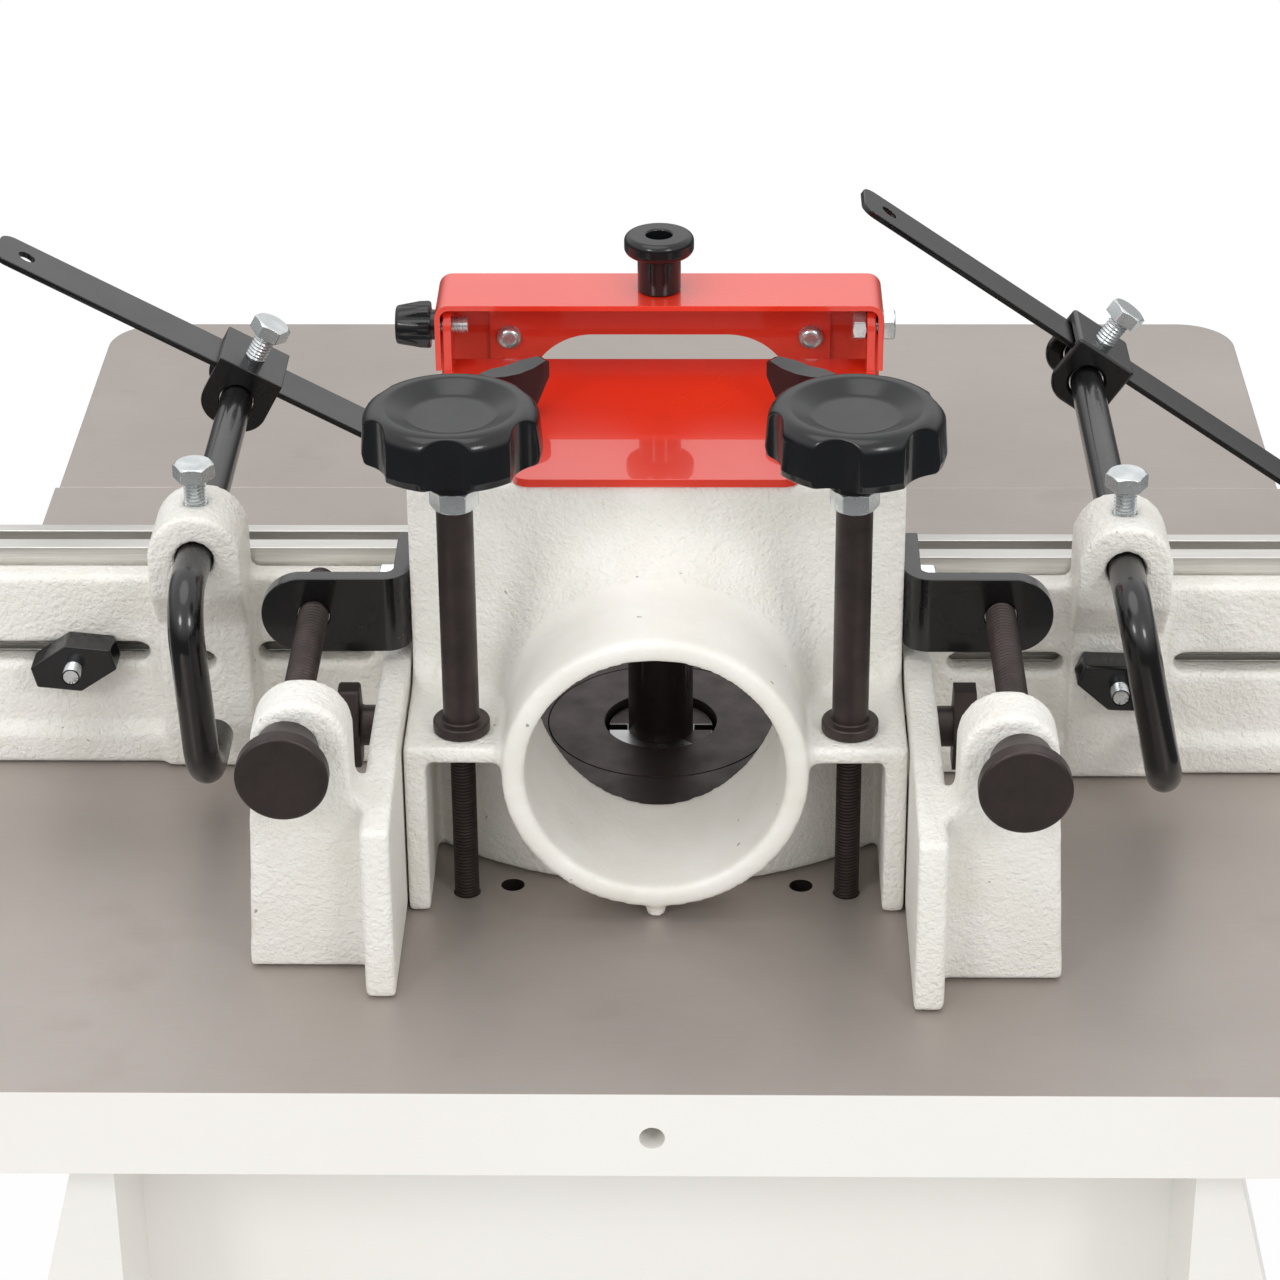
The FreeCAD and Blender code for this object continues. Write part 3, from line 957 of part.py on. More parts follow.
def hold_down(name, side, setback):
    """A bent rod in the post, a bent strap turning on its end and a spring bar through the strap."""
    saddle_y = -getattr(s, f"{name}_saddle")
    lean = getattr(s, f"{name}_drop_lean").value
    tilt = getattr(s, f"{name}_bar_tilt").value
    upper = getattr(s, f"{name}_bar_upper")
    place = dict(x=side * s.post_place, y=ZERO, z=TOP + s.rod_height, axis="Y")
    back, drop = s.rod_back + setback, -s.rod_drop
    rod = pipe([(saddle_y - s.saddle_half_depth, ZERO), (back, ZERO, s.rod_bend),
                (back, drop, s.rod_tail_bend), (s.rod_tail + setback, drop)], s.rod_radius)
    node(f"hold_down_rod_{name}", put(rod, **place, angle=-side * lean))
    depth = (saddle_y - s.saddle_half_depth, saddle_y + s.saddle_half_depth)
    bar_low = s.rod_radius + s.slide_gap * 2
    bar_high = bar_low + s.bar_thickness
    cap_low = bar_high + s.slide_gap
    half = s.saddle_half_width
    base = -s.rod_radius - s.saddle_wall
    cap_top = cap_low + s.saddle_cap
    corner = half * s.saddle_round_share
    block = pad("XZ", [(-half, base, corner), (half, base, corner), (half, cap_top), (-half, cap_top)], depth)
    rod_hole = cylinder("Y", s.rod_radius + s.slide_gap, AXIS, (depth[0] - s.overrun, depth[1] + s.overrun))
    bar_room = s.bar_half_width + s.slide_gap
    window = box((-half - s.overrun, half + s.overrun), (saddle_y - bar_room, saddle_y + bar_room),
                 (base - s.overrun, cap_low))
    bolt_at = (ZERO, saddle_y)
    head_low = cap_top + s.saddle_bolt_stand
    bolt = fuse(cylinder("Z", s.saddle_bolt_radius, bolt_at, (cap_low, head_low + s.saddle_bolt_head / 2)),
                hexagon("Z", s.saddle_bolt_across, bolt_at, (head_low, head_low + s.saddle_bolt_head)))
    node(f"hold_down_clamp_{name}", put(fuse(cut(block, rod_hole, window), bolt), **place, angle=-tilt))
    lower = upper - s.bar_length
    edge_front, edge_rear = saddle_y - s.bar_half_width, saddle_y + s.bar_half_width
    bar_corner = s.bar_half_width * s.bar_round_share
    bar = pad("XY", [(upper, edge_front, bar_corner), (upper, edge_rear, bar_corner), (lower, edge_rear),
                     (lower, edge_front)], (bar_low, bar_high))
    hole = cylinder("Z", s.bar_hole_radius, (upper - s.bar_hole_inset, saddle_y),
                    (bar_low - s.overrun, bar_high + s.overrun))
    node(f"hold_down_bar_{name}", put(cut(bar, hole), **place, angle=-tilt))


def adjust_bracket(side):
    """An angle bracket on the housing's flank whose eye takes the adjusting screw."""
    inner, rear = s.housing_half, s.bracket_rear
    low, high = (TOP + s.adjust_height + sign * s.bracket_half_height for sign in (-1, 1))
    at = (side * s.adjust_place, TOP + s.adjust_height)
    front = rear - s.adjust_bracket_sheet
    outer, leg_outer = s.adjust_place + s.bracket_reach, inner + s.adjust_bracket_sheet
    end_round = s.bracket_half_height * FULL_ROUND_SHARE
    strip = pad("XY", [
        (side * inner, s.bracket_leg_front), (side * inner, rear, s.bracket_bend), (side * outer, rear),
        (side * outer, front), (side * leg_outer, front, s.bracket_bend - s.adjust_bracket_sheet),
        (side * leg_outer, s.bracket_leg_front)], (low, high))
    shape = pad("XZ", [(side * inner, low), (side * outer, low, end_round), (side * outer, high, end_round),
                       (side * inner, high)], (s.bracket_leg_front, rear))
    eye = cylinder("Y", s.adjust_screw_radius + s.slide_gap, at, (front - s.overrun, rear + s.overrun))
    bolt_hole = cylinder("X", s.bracket_bolt_radius, (s.bracket_bolt_place, at[1]),
                         (side * (inner - s.overrun), side * (leg_outer + s.overrun)))
    return cut(common(strip, shape), eye, bolt_hole)


def bracket_bolt(side):
    at = (s.bracket_bolt_place, TOP + s.adjust_height)
    seat = s.housing_half + s.adjust_bracket_sheet
    inside = s.housing_half - s.housing_wall
    head = hexagon("X", s.bracket_bolt_across, at, (side * seat, side * (seat + s.bracket_bolt_head)))
    shank_end = seat + s.bracket_bolt_head / 2
    return fuse(cylinder("X", s.bracket_bolt_radius, at, (side * inside, side * shank_end)), head)


def make_fence():
    node("adjust_brackets", *[adjust_bracket(side) for side in SIDES.values()])
    node("bracket_bolts", *[bracket_bolt(side) for side in SIDES.values()])
    knobs = {
        "infeed": (s.infeed_knob_place, s.fence_rear, s.infeed_knob_turn.value),
        "outfeed": (-s.post_place, s.post_foot_rear + s.outfeed_setback, s.outfeed_knob_turn.value),
    }
    for name, side in SIDES.items():
        setback = SETBACKS[name]
        node(f"fence_casting_{name}", fence_casting(side, setback))
        node(f"fence_board_{name}", fence_board(side, setback))
        x, seat, turn = knobs[name]
        node(f"wing_knob_{name}", wing_knob(x, seat, s.fence_rear - s.fence_plate + setback, turn))
        node(f"adjust_screw_{name}", adjust_screw(side, setback))
        node(f"lock_knob_{name}", lock_knob(side))
        node(f"post_bolt_{name}", post_bolt(side, setback))
        hold_down(name, side, setback)


def make_guard_base():
    low, high = TOP + s.housing_top, TOP + s.housing_top + s.guard_sheet
    plate = pad("XY", [
        (s.guard_half, s.guard_rear, s.guard_corner), (-s.guard_half, s.guard_rear, s.guard_corner),
        (-s.guard_half, s.guard_step), (-s.guard_wide_half, s.guard_step), (-s.guard_wide_half, -s.ear_rear),
        (-s.ear_half, -s.ear_rear), (-s.ear_half, -s.guard_front), (s.ear_half, -s.guard_front),
        (s.ear_half, -s.ear_rear), (s.guard_wide_half, -s.ear_rear), (s.guard_wide_half, s.guard_step),
        (s.guard_half, s.guard_step)], (low, high))
    pivot = TOP + s.pivot_height
    left, right = -s.pivot_place - s.ear_radius, s.ear_radius - s.pivot_place
    ear_top, ear_round = pivot + s.ear_radius, s.ear_radius * FULL_ROUND_SHARE
    ears = []
    for side in (1, -1):
        span = (side * (s.ear_half - s.guard_sheet), side * s.ear_half)
        ear = pad("YZ", [(left, low), (right, low), (right, ear_top, ear_round),
                         (left, ear_top, ear_round)], span)
        hole = cylinder("X", s.pivot_radius + s.running_gap, (-s.pivot_place, pivot),
                        (side * (s.ear_half - s.guard_sheet - s.overrun), side * (s.ear_half + s.overrun)))
        ears.append(cut(ear, hole))
    slots = []
    slot_half = s.guard_stud_radius + s.slide_gap
    for side in (1, -1):
        centre = side * s.guard_knob_place
        ends = (s.guard_knob_rear - s.guard_slot_half, s.guard_knob_rear + s.guard_slot_half)
        slots.append(box((centre - slot_half, centre + slot_half), ends, (low - s.overrun, high + s.overrun)))
        slots += [cylinder("Z", slot_half, (centre, y), (low - s.overrun, high + s.overrun)) for y in ends]
    node("guard_base", cut(fuse(plate, *ears), *slots))


def notch_outline(bottom):
    """The arched opening over the cutter, seen from the front."""
    crown = TOP + s.notch_top
    return [(-s.notch_half, bottom), (s.notch_half, bottom), (s.notch_half, crown, s.notch_round),
            (-s.notch_half, crown, s.notch_round)]


def make_hood():
    low, high = TOP + s.hood_wall_bottom, TOP + s.hood_top
    rear, front = -s.hood_rear, -s.hood_front
    wall_rear = front + s.hood_sheet
    inner_half = s.hood_half - s.hood_sheet
    outer = pad("XZ", [(-s.hood_half, low), (s.hood_half, low), (s.hood_half, high, s.hood_bend),
                       (-s.hood_half, high, s.hood_bend)], (front, rear))
    hollow = pad("XZ", [(-inner_half, low - s.overrun), (inner_half, low - s.overrun),
                        (inner_half, high - s.hood_sheet, s.hood_bend - s.hood_sheet),
                        (-inner_half, high - s.hood_sheet, s.hood_bend - s.hood_sheet)],
                 (wall_rear, rear + s.overrun))
    under_sides = box((-s.hood_half - s.overrun, s.hood_half + s.overrun), (wall_rear, rear + s.overrun),
                      (low - s.overrun, TOP + s.hood_bottom))
    pivot_at = (-s.pivot_place, TOP + s.pivot_height)
    pivot_hole = cylinder("X", s.pivot_radius + s.slide_gap, pivot_at,
                          (-s.hood_half - s.overrun, s.hood_half + s.overrun))
    wall_span = (front - s.overrun, wall_rear + s.overrun)
    notch = pad("XZ", notch_outline(low - s.overrun), wall_span)
    bolt_level = TOP + s.shield_bolt_level
    bolt_places = [(side * s.shield_bolt_place, bolt_level) for side in (1, -1)]
    bolt_holes = [cylinder("Y", s.shield_bolt_radius, at, wall_span) for at in bolt_places]
    handle_at = (ZERO, -s.handle_place)
    handle_hole = cylinder("Z", s.pivot_radius, handle_at,
                           (high - s.hood_sheet - s.overrun, high + s.overrun))
    node("guard_hood", cut(outer, hollow, under_sides, pivot_hole, notch, handle_hole, *bolt_holes))
    shield_span = (wall_rear, wall_rear + s.hood_sheet)
    shield_low = TOP + s.shield_bottom
    shield = box((-s.shield_half, s.shield_half), shield_span, (shield_low, TOP + s.shield_top))
    hole_span = (shield_span[0] - s.overrun, shield_span[1] + s.overrun)
    shield_notch = pad("XZ", notch_outline(shield_low - s.overrun), hole_span)
    shield_holes = [cylinder("Y", s.shield_bolt_radius, at, hole_span) for at in bolt_places]
    node("guard_shield", cut(shield, shield_notch, *shield_holes))
    seat = shield_span[1]
    dome_top = seat + s.dome_height
    node("shield_bolts", *[turned("Y", [
        (ZERO, front - s.dome_height), (s.dome_radius, front - s.dome_height), (s.dome_radius, front),
        (s.shield_bolt_radius, front), (s.shield_bolt_radius, seat), (s.dome_radius, seat),
        (s.dome_radius, dome_top, s.dome_height * s.dome_round_share), (ZERO, dome_top)], at)
        for at in bolt_places])
    neck_top = high + s.handle_height - s.handle_head_height
    tip = high + s.handle_height
    node("hood_handle", turned("Z", [
        (ZERO, high - s.hood_sheet), (s.pivot_radius, high - s.hood_sheet), (s.pivot_radius, high),
        (s.handle_stem_radius, high), (s.handle_stem_radius, neck_top),
        (s.handle_head_radius, neck_top, s.handle_round), (s.handle_head_radius, tip, s.handle_round),
        (s.handle_hole_radius, tip), (s.handle_hole_radius, tip - s.handle_hole_depth),
        (ZERO, tip - s.handle_hole_depth)], handle_at))
    bolt_seat = s.hood_half + s.slide_gap
    nut_seat = s.ear_half - s.guard_sheet
    nut_end = s.pivot_nut_height - nut_seat
    node("hood_pivot_bolt", fuse(
        hexagon("X", s.pivot_bolt_across, pivot_at, (-bolt_seat - s.pivot_bolt_head, -bolt_seat)),
        cylinder("X", s.pivot_radius, pivot_at, (-bolt_seat - s.pivot_bolt_head / 2, nut_end)),
        hexagon("X", s.pivot_bolt_across, pivot_at, (-nut_seat, nut_end))))
    knob_end = bolt_seat + s.lock_small_length
    knob_root = bolt_seat + s.lock_small_step
    node("hood_lock_knob", fuse(
        cylinder("X", s.pivot_radius, pivot_at,
                 (nut_seat - s.lock_small_reach, knob_end - s.lock_small_step)),
        cylinder("X", s.lock_small_hub, pivot_at, (bolt_seat, knob_root)),
        cone("X", (s.lock_small_radius, s.lock_small_radius * s.lock_taper_share), pivot_at,
             (knob_root, knob_end))))


def make_guard_knobs():
    seat = TOP + s.housing_top + s.guard_sheet + s.slide_gap
    crown = seat + s.guard_knob_height
    root, dip = seat + s.guard_hub_height / 2, crown - s.guard_knob_dip
    long, half, bend = s.guard_knob_half_length, s.guard_knob_thickness / 2, s.guard_knob_round
    heel = root + s.guard_knob_rise
    for name, side in SIDES.items():
        at = (side * s.guard_knob_place, s.guard_knob_rear)
        grip = pad("XZ", [(-s.guard_hub_radius, root), (s.guard_hub_radius, root), (long, heel, bend),
                          (long, crown, bend), (ZERO, dip), (-long, crown, bend), (-long, heel, bend)],
                   (-half, half))
        put(grip, at[0], at[1], ZERO, "Z", side * s.guard_knob_turn.value)
        hub = cylinder("Z", s.guard_hub_radius, at, (seat, seat + s.guard_hub_height))
        stud = cylinder("Z", s.guard_stud_radius, at,
                        (TOP + s.housing_top - s.roof, seat + s.guard_hub_height))
        node(f"guard_wing_knob_{name}", fuse(grip, hub, stud))


make_table()
make_rings()
make_cabinet()
make_lift_way()
make_carriage()
make_spindle()
make_drive()
make_height_gear()
make_switch()
make_housing()
make_clamps()
make_fence()
make_guard_base()
make_hood()
make_guard_knobs()

doc.recompute()
faults = [item.Label for item in doc.Objects if {"Invalid", "Error"} & set(item.State)]
faults += [item.Label for item in nodes if item.Shape.isNull() or not item.Shape.isValid()]
if faults:
    raise RuntimeError(f"These pieces failed to build: {faults}")

os.makedirs("parts", exist_ok=True)
for item in nodes:
    item.Shape.exportStep(f"parts/{item.Label}.step")
    print(f"{item.Label}: {len(item.Shape.Solids)} solids, {item.Shape.Volume:.0f} cubic millimetres")
print(f"{len(nodes)} pieces written")
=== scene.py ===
# %% [markdown]
# # A spindle moulder in the studio
# A spindle moulder shapes the edges of boards with a cutter that stands up through an iron table.
# This lesson dresses the bare engineering model of one. The model arrives as plain solids in metres,
# and every cell below gives some of them the edges, the threads and the finish of the real machine.

# %% Load the model
import json
import math
import bmesh
import bpy
from mathutils import Matrix, Vector


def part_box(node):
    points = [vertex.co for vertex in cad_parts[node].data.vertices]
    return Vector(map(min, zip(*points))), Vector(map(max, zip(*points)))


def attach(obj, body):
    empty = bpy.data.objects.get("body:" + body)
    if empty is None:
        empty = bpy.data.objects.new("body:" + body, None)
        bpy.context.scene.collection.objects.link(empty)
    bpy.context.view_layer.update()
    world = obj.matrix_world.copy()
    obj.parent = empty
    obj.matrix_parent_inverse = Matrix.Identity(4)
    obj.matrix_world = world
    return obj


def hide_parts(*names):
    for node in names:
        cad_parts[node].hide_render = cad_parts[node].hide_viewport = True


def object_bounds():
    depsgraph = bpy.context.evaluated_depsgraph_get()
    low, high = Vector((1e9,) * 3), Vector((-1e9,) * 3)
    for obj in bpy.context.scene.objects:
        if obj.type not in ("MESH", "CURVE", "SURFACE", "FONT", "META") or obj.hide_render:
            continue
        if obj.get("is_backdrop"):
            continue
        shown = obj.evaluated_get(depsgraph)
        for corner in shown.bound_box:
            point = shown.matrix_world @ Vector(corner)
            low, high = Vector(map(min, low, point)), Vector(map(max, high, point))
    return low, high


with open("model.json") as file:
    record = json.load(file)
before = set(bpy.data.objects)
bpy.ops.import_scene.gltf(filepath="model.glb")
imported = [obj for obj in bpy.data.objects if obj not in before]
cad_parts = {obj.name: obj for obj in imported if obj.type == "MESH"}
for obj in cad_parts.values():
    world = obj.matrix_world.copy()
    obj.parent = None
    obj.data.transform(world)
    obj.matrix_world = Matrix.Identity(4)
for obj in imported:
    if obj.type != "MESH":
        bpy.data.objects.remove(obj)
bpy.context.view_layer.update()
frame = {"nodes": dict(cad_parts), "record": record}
record = frame["record"]
nodes = frame["nodes"]
body_of = {node: body for body, names in record["behaviour"]["bodies"].items() for node in names}
slot_of = {entry["node"]: entry["material_slot"] for entry in record["subparts"]}
MM = 0.001

# %% [markdown]
# ## The camera
# The picture is taken from behind the machine and above its fence, with a long lens. A camera is
# placed by three directions: what it calls right and up, and the way it looks back along its own axis.

# %% Camera
def add_object(name, data):
    """Puts a new object in the scene."""
    item = bpy.data.objects.new(name, data)
    bpy.context.collection.objects.link(item)
    return item


camera_place = Vector((-0.01774, 1.27950, 1.55326))
camera_right = Vector((-0.99986, -0.0169, -0.0072)).normalized()
camera_up = Vector((0.0017, -0.4747, 0.8802)).normalized()
camera_back = camera_right.cross(camera_up).normalized()
SENSOR_WIDTH, LENS_LENGTH = 36.0, 105.35
lens = bpy.data.cameras.new("camera")
lens.sensor_width = SENSOR_WIDTH
lens.lens = LENS_LENGTH
camera = add_object("camera", lens)
turn = Matrix((camera_right, camera_up, camera_back)).transposed().to_4x4()
camera.matrix_world = Matrix.Translation(camera_place) @ turn
bpy.context.scene.camera = camera
print("lens", lens.lens, "mm")

# %% [markdown]
# ## Light and floor
# Product pictures like this one are lit from a white ceiling, with two soft boxes at the camera's sides, and
# white paper lies below and behind. The camera sees the room as pure white. A reflection sees it white
# overhead and dim below the horizon, and that is what keeps the sides of black knobs black while their tops
# shine. The floor glows for the camera, so the paper stays white and still takes a soft shadow.

# %% Room
scene = bpy.context.scene
scene.view_settings.view_transform = "Standard"


def wire(tree, source, target):
    """Leads a node's output to an input, or sets the input to a number or a colour."""
    if isinstance(source, (int, float, tuple)):
        target.default_value = source
    else:
        tree.links.new(source, target)


def ranged(tree, value, low, high, from_low=0.0, from_high=1.0):
    """Takes a value from one range to another."""
    node = tree.nodes.new("ShaderNodeMapRange")
    for title, number in (("Value", value), ("From Min", from_low), ("From Max", from_high),
                          ("To Min", low), ("To Max", high)):
        wire(tree, number, node.inputs[title])
    return node.outputs["Result"]


def sum_node(tree, operation, *values):
    """One arithmetic step."""
    node = tree.nodes.new("ShaderNodeMath")
    node.operation = operation
    for socket, value in zip(node.inputs, values):
        wire(tree, value, socket)
    return node.outputs[0]


def seen(tree):
    """What the camera sees, also through clear things, and what mirrors see: each is one or zero."""
    rays = tree.nodes.new("ShaderNodeLightPath").outputs
    either = sum_node(tree, "MAXIMUM", rays["Is Camera Ray"], rays["Is Transmission Ray"])
    return either, rays["Is Glossy Ray"]


ROOM_LIGHT = 0.84
DIM_SHEEN, CEILING_SHEEN = 0.12, 1.05
SHEEN_FROM, SHEEN_TO = -0.05, 0.4
world = bpy.data.worlds.new("white_room")
world.use_nodes = True
scene.world = world
air = world.node_tree
sky = air.nodes["Background"]
sky.inputs["Color"].default_value = (1.0, 1.0, 1.0, 1.0)
direction = air.nodes.new("ShaderNodeSeparateXYZ")
wire(air, air.nodes.new("ShaderNodeTexCoord").outputs["Generated"], direction.inputs[0])
sheen = ranged(air, direction.outputs["Z"], DIM_SHEEN, CEILING_SHEEN, SHEEN_FROM, SHEEN_TO)
sees, mirrors = seen(air)
wire(air, ranged(air, sees, ranged(air, mirrors, ROOM_LIGHT, sheen), 1.0), sky.inputs["Strength"])

TABLE_MIDDLE = Vector((0.0, 0.0, 0.9))
CEILING_PLACE, CEILING_SIZE, CEILING_POWER = (0.3, 0.2, 3.0), 1.8, 11.0
BOX_ASIDE, BOX_BACK, BOX_HEIGHT, BOX_SIZE, BOX_POWER = 1.2, 1.9, 2.2, 0.6, 10.0


def soft_lamp(name, place, size, power):
    """A round lamp that is aimed at the table."""
    data = bpy.data.lights.new(name, "AREA")
    data.shape = "DISK"
    data.size = size
    data.energy = power
    lamp = add_object(name, data)
    aim = (TABLE_MIDDLE - Vector(place)).to_track_quat("-Z", "Y")
    lamp.matrix_world = Matrix.Translation(place) @ aim.to_matrix().to_4x4()


soft_lamp("ceiling", CEILING_PLACE, CEILING_SIZE, CEILING_POWER)
for side in (1, -1):
    soft_lamp(f"box_{side}", (side * BOX_ASIDE, BOX_BACK, BOX_HEIGHT), BOX_SIZE, BOX_POWER)

FLOOR_HALF = 1.3
FLOOR_GLOW_SHARE = 0.94
PAPER_TONE, PAPER_ROUGHNESS = 0.86, 0.9
paper = bpy.data.materials.new("white_paper")
paper.use_nodes = True
paper_tree = paper.node_tree
paper_matt = paper_tree.nodes["Principled BSDF"]
paper_matt.inputs["Base Color"].default_value = (PAPER_TONE, PAPER_TONE, PAPER_TONE, 1.0)
paper_matt.inputs["Roughness"].default_value = PAPER_ROUGHNESS
paper_glow = paper_tree.nodes.new("ShaderNodeEmission")
paper_mix = paper_tree.nodes.new("ShaderNodeMixShader")
wire(paper_tree, ranged(paper_tree, seen(paper_tree)[0], 0.0, FLOOR_GLOW_SHARE), paper_mix.inputs["Fac"])
wire(paper_tree, paper_matt.outputs["BSDF"], paper_mix.inputs[1])
wire(paper_tree, paper_glow.outputs["Emission"], paper_mix.inputs[2])
wire(paper_tree, paper_mix.outputs["Shader"], paper_tree.nodes["Material Output"].inputs["Surface"])
floor_mesh = bpy.data.meshes.new("floor")
corners = [(x * FLOOR_HALF, y * FLOOR_HALF, 0.0) for x, y in ((-1, -1), (1, -1), (1, 1), (-1, 1))]
floor_mesh.from_pydata(corners, [], [(0, 1, 2, 3)])
floor_mesh.materials.append(paper)
floor = add_object("floor", floor_mesh)
floor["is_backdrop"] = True
print("floor", FLOOR_HALF * 2, "m wide")

# %% [markdown]
# ## Tools for finishes
# Every finish below is a Principled shader whose colour and gloss vary a little over the surface, and most
# have a fine relief. The variation comes from noise in the object's own space, in metres, so a grain of 400
# is 2.5 mm wide. A few helpers keep the trees short.

# %% Finish helpers
def linear(red, green, blue):
    """A colour picked on screen, from 0 to 255, as the shader wants it."""
    def one(value):
        share = value / 255
        return share / 12.92 if share <= 0.04045 else ((share + 0.055) / 1.055) ** 2.4
    return (one(red), one(green), one(blue), 1.0)


def new_finish(name, colour, roughness, metallic=0.0):
    material = bpy.data.materials.new(name)
    material.use_nodes = True
    shader = material.node_tree.nodes["Principled BSDF"]
    shader.inputs["Base Color"].default_value = colour
    shader.inputs["Roughness"].default_value = roughness
    shader.inputs["Metallic"].default_value = metallic
    return material, material.node_tree, shader


def noise(tree, scale, stretch=(1.0, 1.0, 1.0), detail=4.0, roughness=0.55):
    place = tree.nodes.new("ShaderNodeTexCoord")
    mapping = tree.nodes.new("ShaderNodeMapping")
    mapping.inputs["Scale"].default_value = stretch
    texture = tree.nodes.new("ShaderNodeTexNoise")
    texture.inputs["Scale"].default_value = scale
    texture.inputs["Detail"].default_value = detail
    texture.inputs["Roughness"].default_value = roughness
    wire(tree, place.outputs["Object"], mapping.inputs["Vector"])
    wire(tree, mapping.outputs["Vector"], texture.inputs["Vector"])
    return texture.outputs["Fac"]


def spread(tree, value, low, high, from_low=0.3, from_high=0.7):
    """Takes a noise value, which mostly lies between 0.3 and 0.7, to a range of its own."""
    return ranged(tree, value, low, high, from_low, from_high)


def mixed(tree, share, first, second):
    """Mixes two colours; this node keeps its colour sockets behind those for numbers and for vectors."""
    node = tree.nodes.new("ShaderNodeMix")
    node.data_type = "RGBA"
    for place, value in ((0, share), (6, first), (7, second)):
        wire(tree, value, node.inputs[place])
    return node.outputs[2]


def relief(tree, shader, height, strength, depth):
    node = tree.nodes.new("ShaderNodeBump")
    node.inputs["Strength"].default_value = strength
    node.inputs["Distance"].default_value = depth
    wire(tree, height, node.inputs["Height"])
    wire(tree, node.outputs["Normal"], shader.inputs["Normal"])


def vary(tree, shader, share, colours, gloss):
    """Lets one noise value drive the colour and the gloss of a shader."""
    wire(tree, mixed(tree, share, *colours), shader.inputs["Base Color"])
    wire(tree, ranged(tree, share, *gloss), shader.inputs["Roughness"])


def mottled(name, base, roughness, tones, gloss, grain, detail=4.0, stretch=(1.0, 1.0, 1.0), metallic=0.0,
            bump=None, coat=None):
    """A finish whose colour and gloss drift between two values. Colours are as on screen, bump is the grain,
    detail, strength and depth of a relief, and coat the weight and roughness of a clear layer."""
    material, tree, shader = new_finish(name, linear(*base), roughness, metallic)
    share = spread(tree, noise(tree, grain, stretch, detail), 0.0, 1.0)
    vary(tree, shader, share, [linear(*tone) for tone in tones], gloss)
    if bump:
        bump_grain, bump_detail, strength, depth = bump
        relief(tree, shader, noise(tree, bump_grain, detail=bump_detail), strength, depth)
    if coat:
        shader.inputs["Coat Weight"].default_value, shader.inputs["Coat Roughness"].default_value = coat
    return material


print("half grey on screen is", round(linear(128, 128, 128)[0], 3), "to a shader")

# %% [markdown]
# ## Paint on castings and on sheet
# The fence is sand-cast iron under thick off-white paint, so the sand's texture shows through as a dense
# peel, and a rare speck of dirt sits in it. Two sizes of noise make the relief: grains of some 2 mm, and
# finer ones between them. The round outlet was rubbed down before painting, so its relief is fainter. The
# cabinet's sheet has the same colour, but only an orange peel. The guard's red enamel is smooth, and a clear
# coat over its colour mirrors what stands near it.

# %% Paint
TONE_GRAIN, GLOSS_GRAIN = 40.0, 150.0
SPECK_GRAIN, SPECK_SHARE, SPECK_FROM, SPECK_TO = 300.0, 0.7, 0.775, 0.81
SAND_GRAIN, FINE_GRAIN, FINE_SHARE, SAND_DEPTH = 430.0, 1000.0, 0.5, 1.1 * MM


def cast_paint(name, sand_strength):
    material, tree, shader = new_finish(name, linear(240, 238, 232), 0.42)
    tone = spread(tree, noise(tree, TONE_GRAIN, detail=6.0), 0.0, 1.0)
    specks = spread(tree, noise(tree, SPECK_GRAIN, detail=1.0), 0.0, SPECK_SHARE, SPECK_FROM, SPECK_TO)
    body = mixed(tree, tone, linear(243, 241, 236), linear(234, 231, 222))
    wire(tree, mixed(tree, specks, body, linear(120, 110, 100)), shader.inputs["Base Color"])
    wire(tree, spread(tree, noise(tree, GLOSS_GRAIN), 0.34, 0.52), shader.inputs["Roughness"])
    coarse, fine = noise(tree, SAND_GRAIN, detail=2.0), noise(tree, FINE_GRAIN, detail=2.0)
    sand = sum_node(tree, "MULTIPLY_ADD", fine, FINE_SHARE, coarse)
    relief(tree, shader, sand, sand_strength, SAND_DEPTH)
    return material


CAST_WHITE = cast_paint("cast_white_paint", 0.8)
SMOOTH_CAST = cast_paint("rubbed_white_paint", 0.16)
SHEET_WHITE = mottled("sheet_white_paint", (238, 236, 231), 0.32, tones=((239, 237, 232), (236, 233, 228)),
                      gloss=(0.28, 0.36), grain=9.0, bump=(420.0, 1.0, 0.08, 0.0004))
RED = mottled("red_enamel", (227, 51, 27), 0.3, tones=((231, 55, 28), (222, 47, 25)), gloss=(0.26, 0.36),
              grain=14.0, bump=(160.0, 1.0, 0.03, 0.0004), coat=(1.0, 0.025))
print("paints:", CAST_WHITE.name, SHEET_WHITE.name, RED.name)

# %% [markdown]
# ## Bare and plated metal
# The table is ground iron: a satin grey, a little warm, with fine lines from the grinding wheel and pale
# clouds of oil. Bolts are bright zinc, the fence boards are drawn aluminium with lines along their
# length, and the rings, studs and screws are blackened steel that has gone a little brown. Noise that is
# stretched along one axis makes the lines.

# %% Metals
BLOOM_GRAIN, STAIN_GRAIN, LINE_GRAIN, LINE_DEPTH = 6.0, 18.0, 60.0, 0.2 * MM
STAIN_SHARE, STAIN_FROM, STAIN_TO = 0.35, 0.58, 0.75


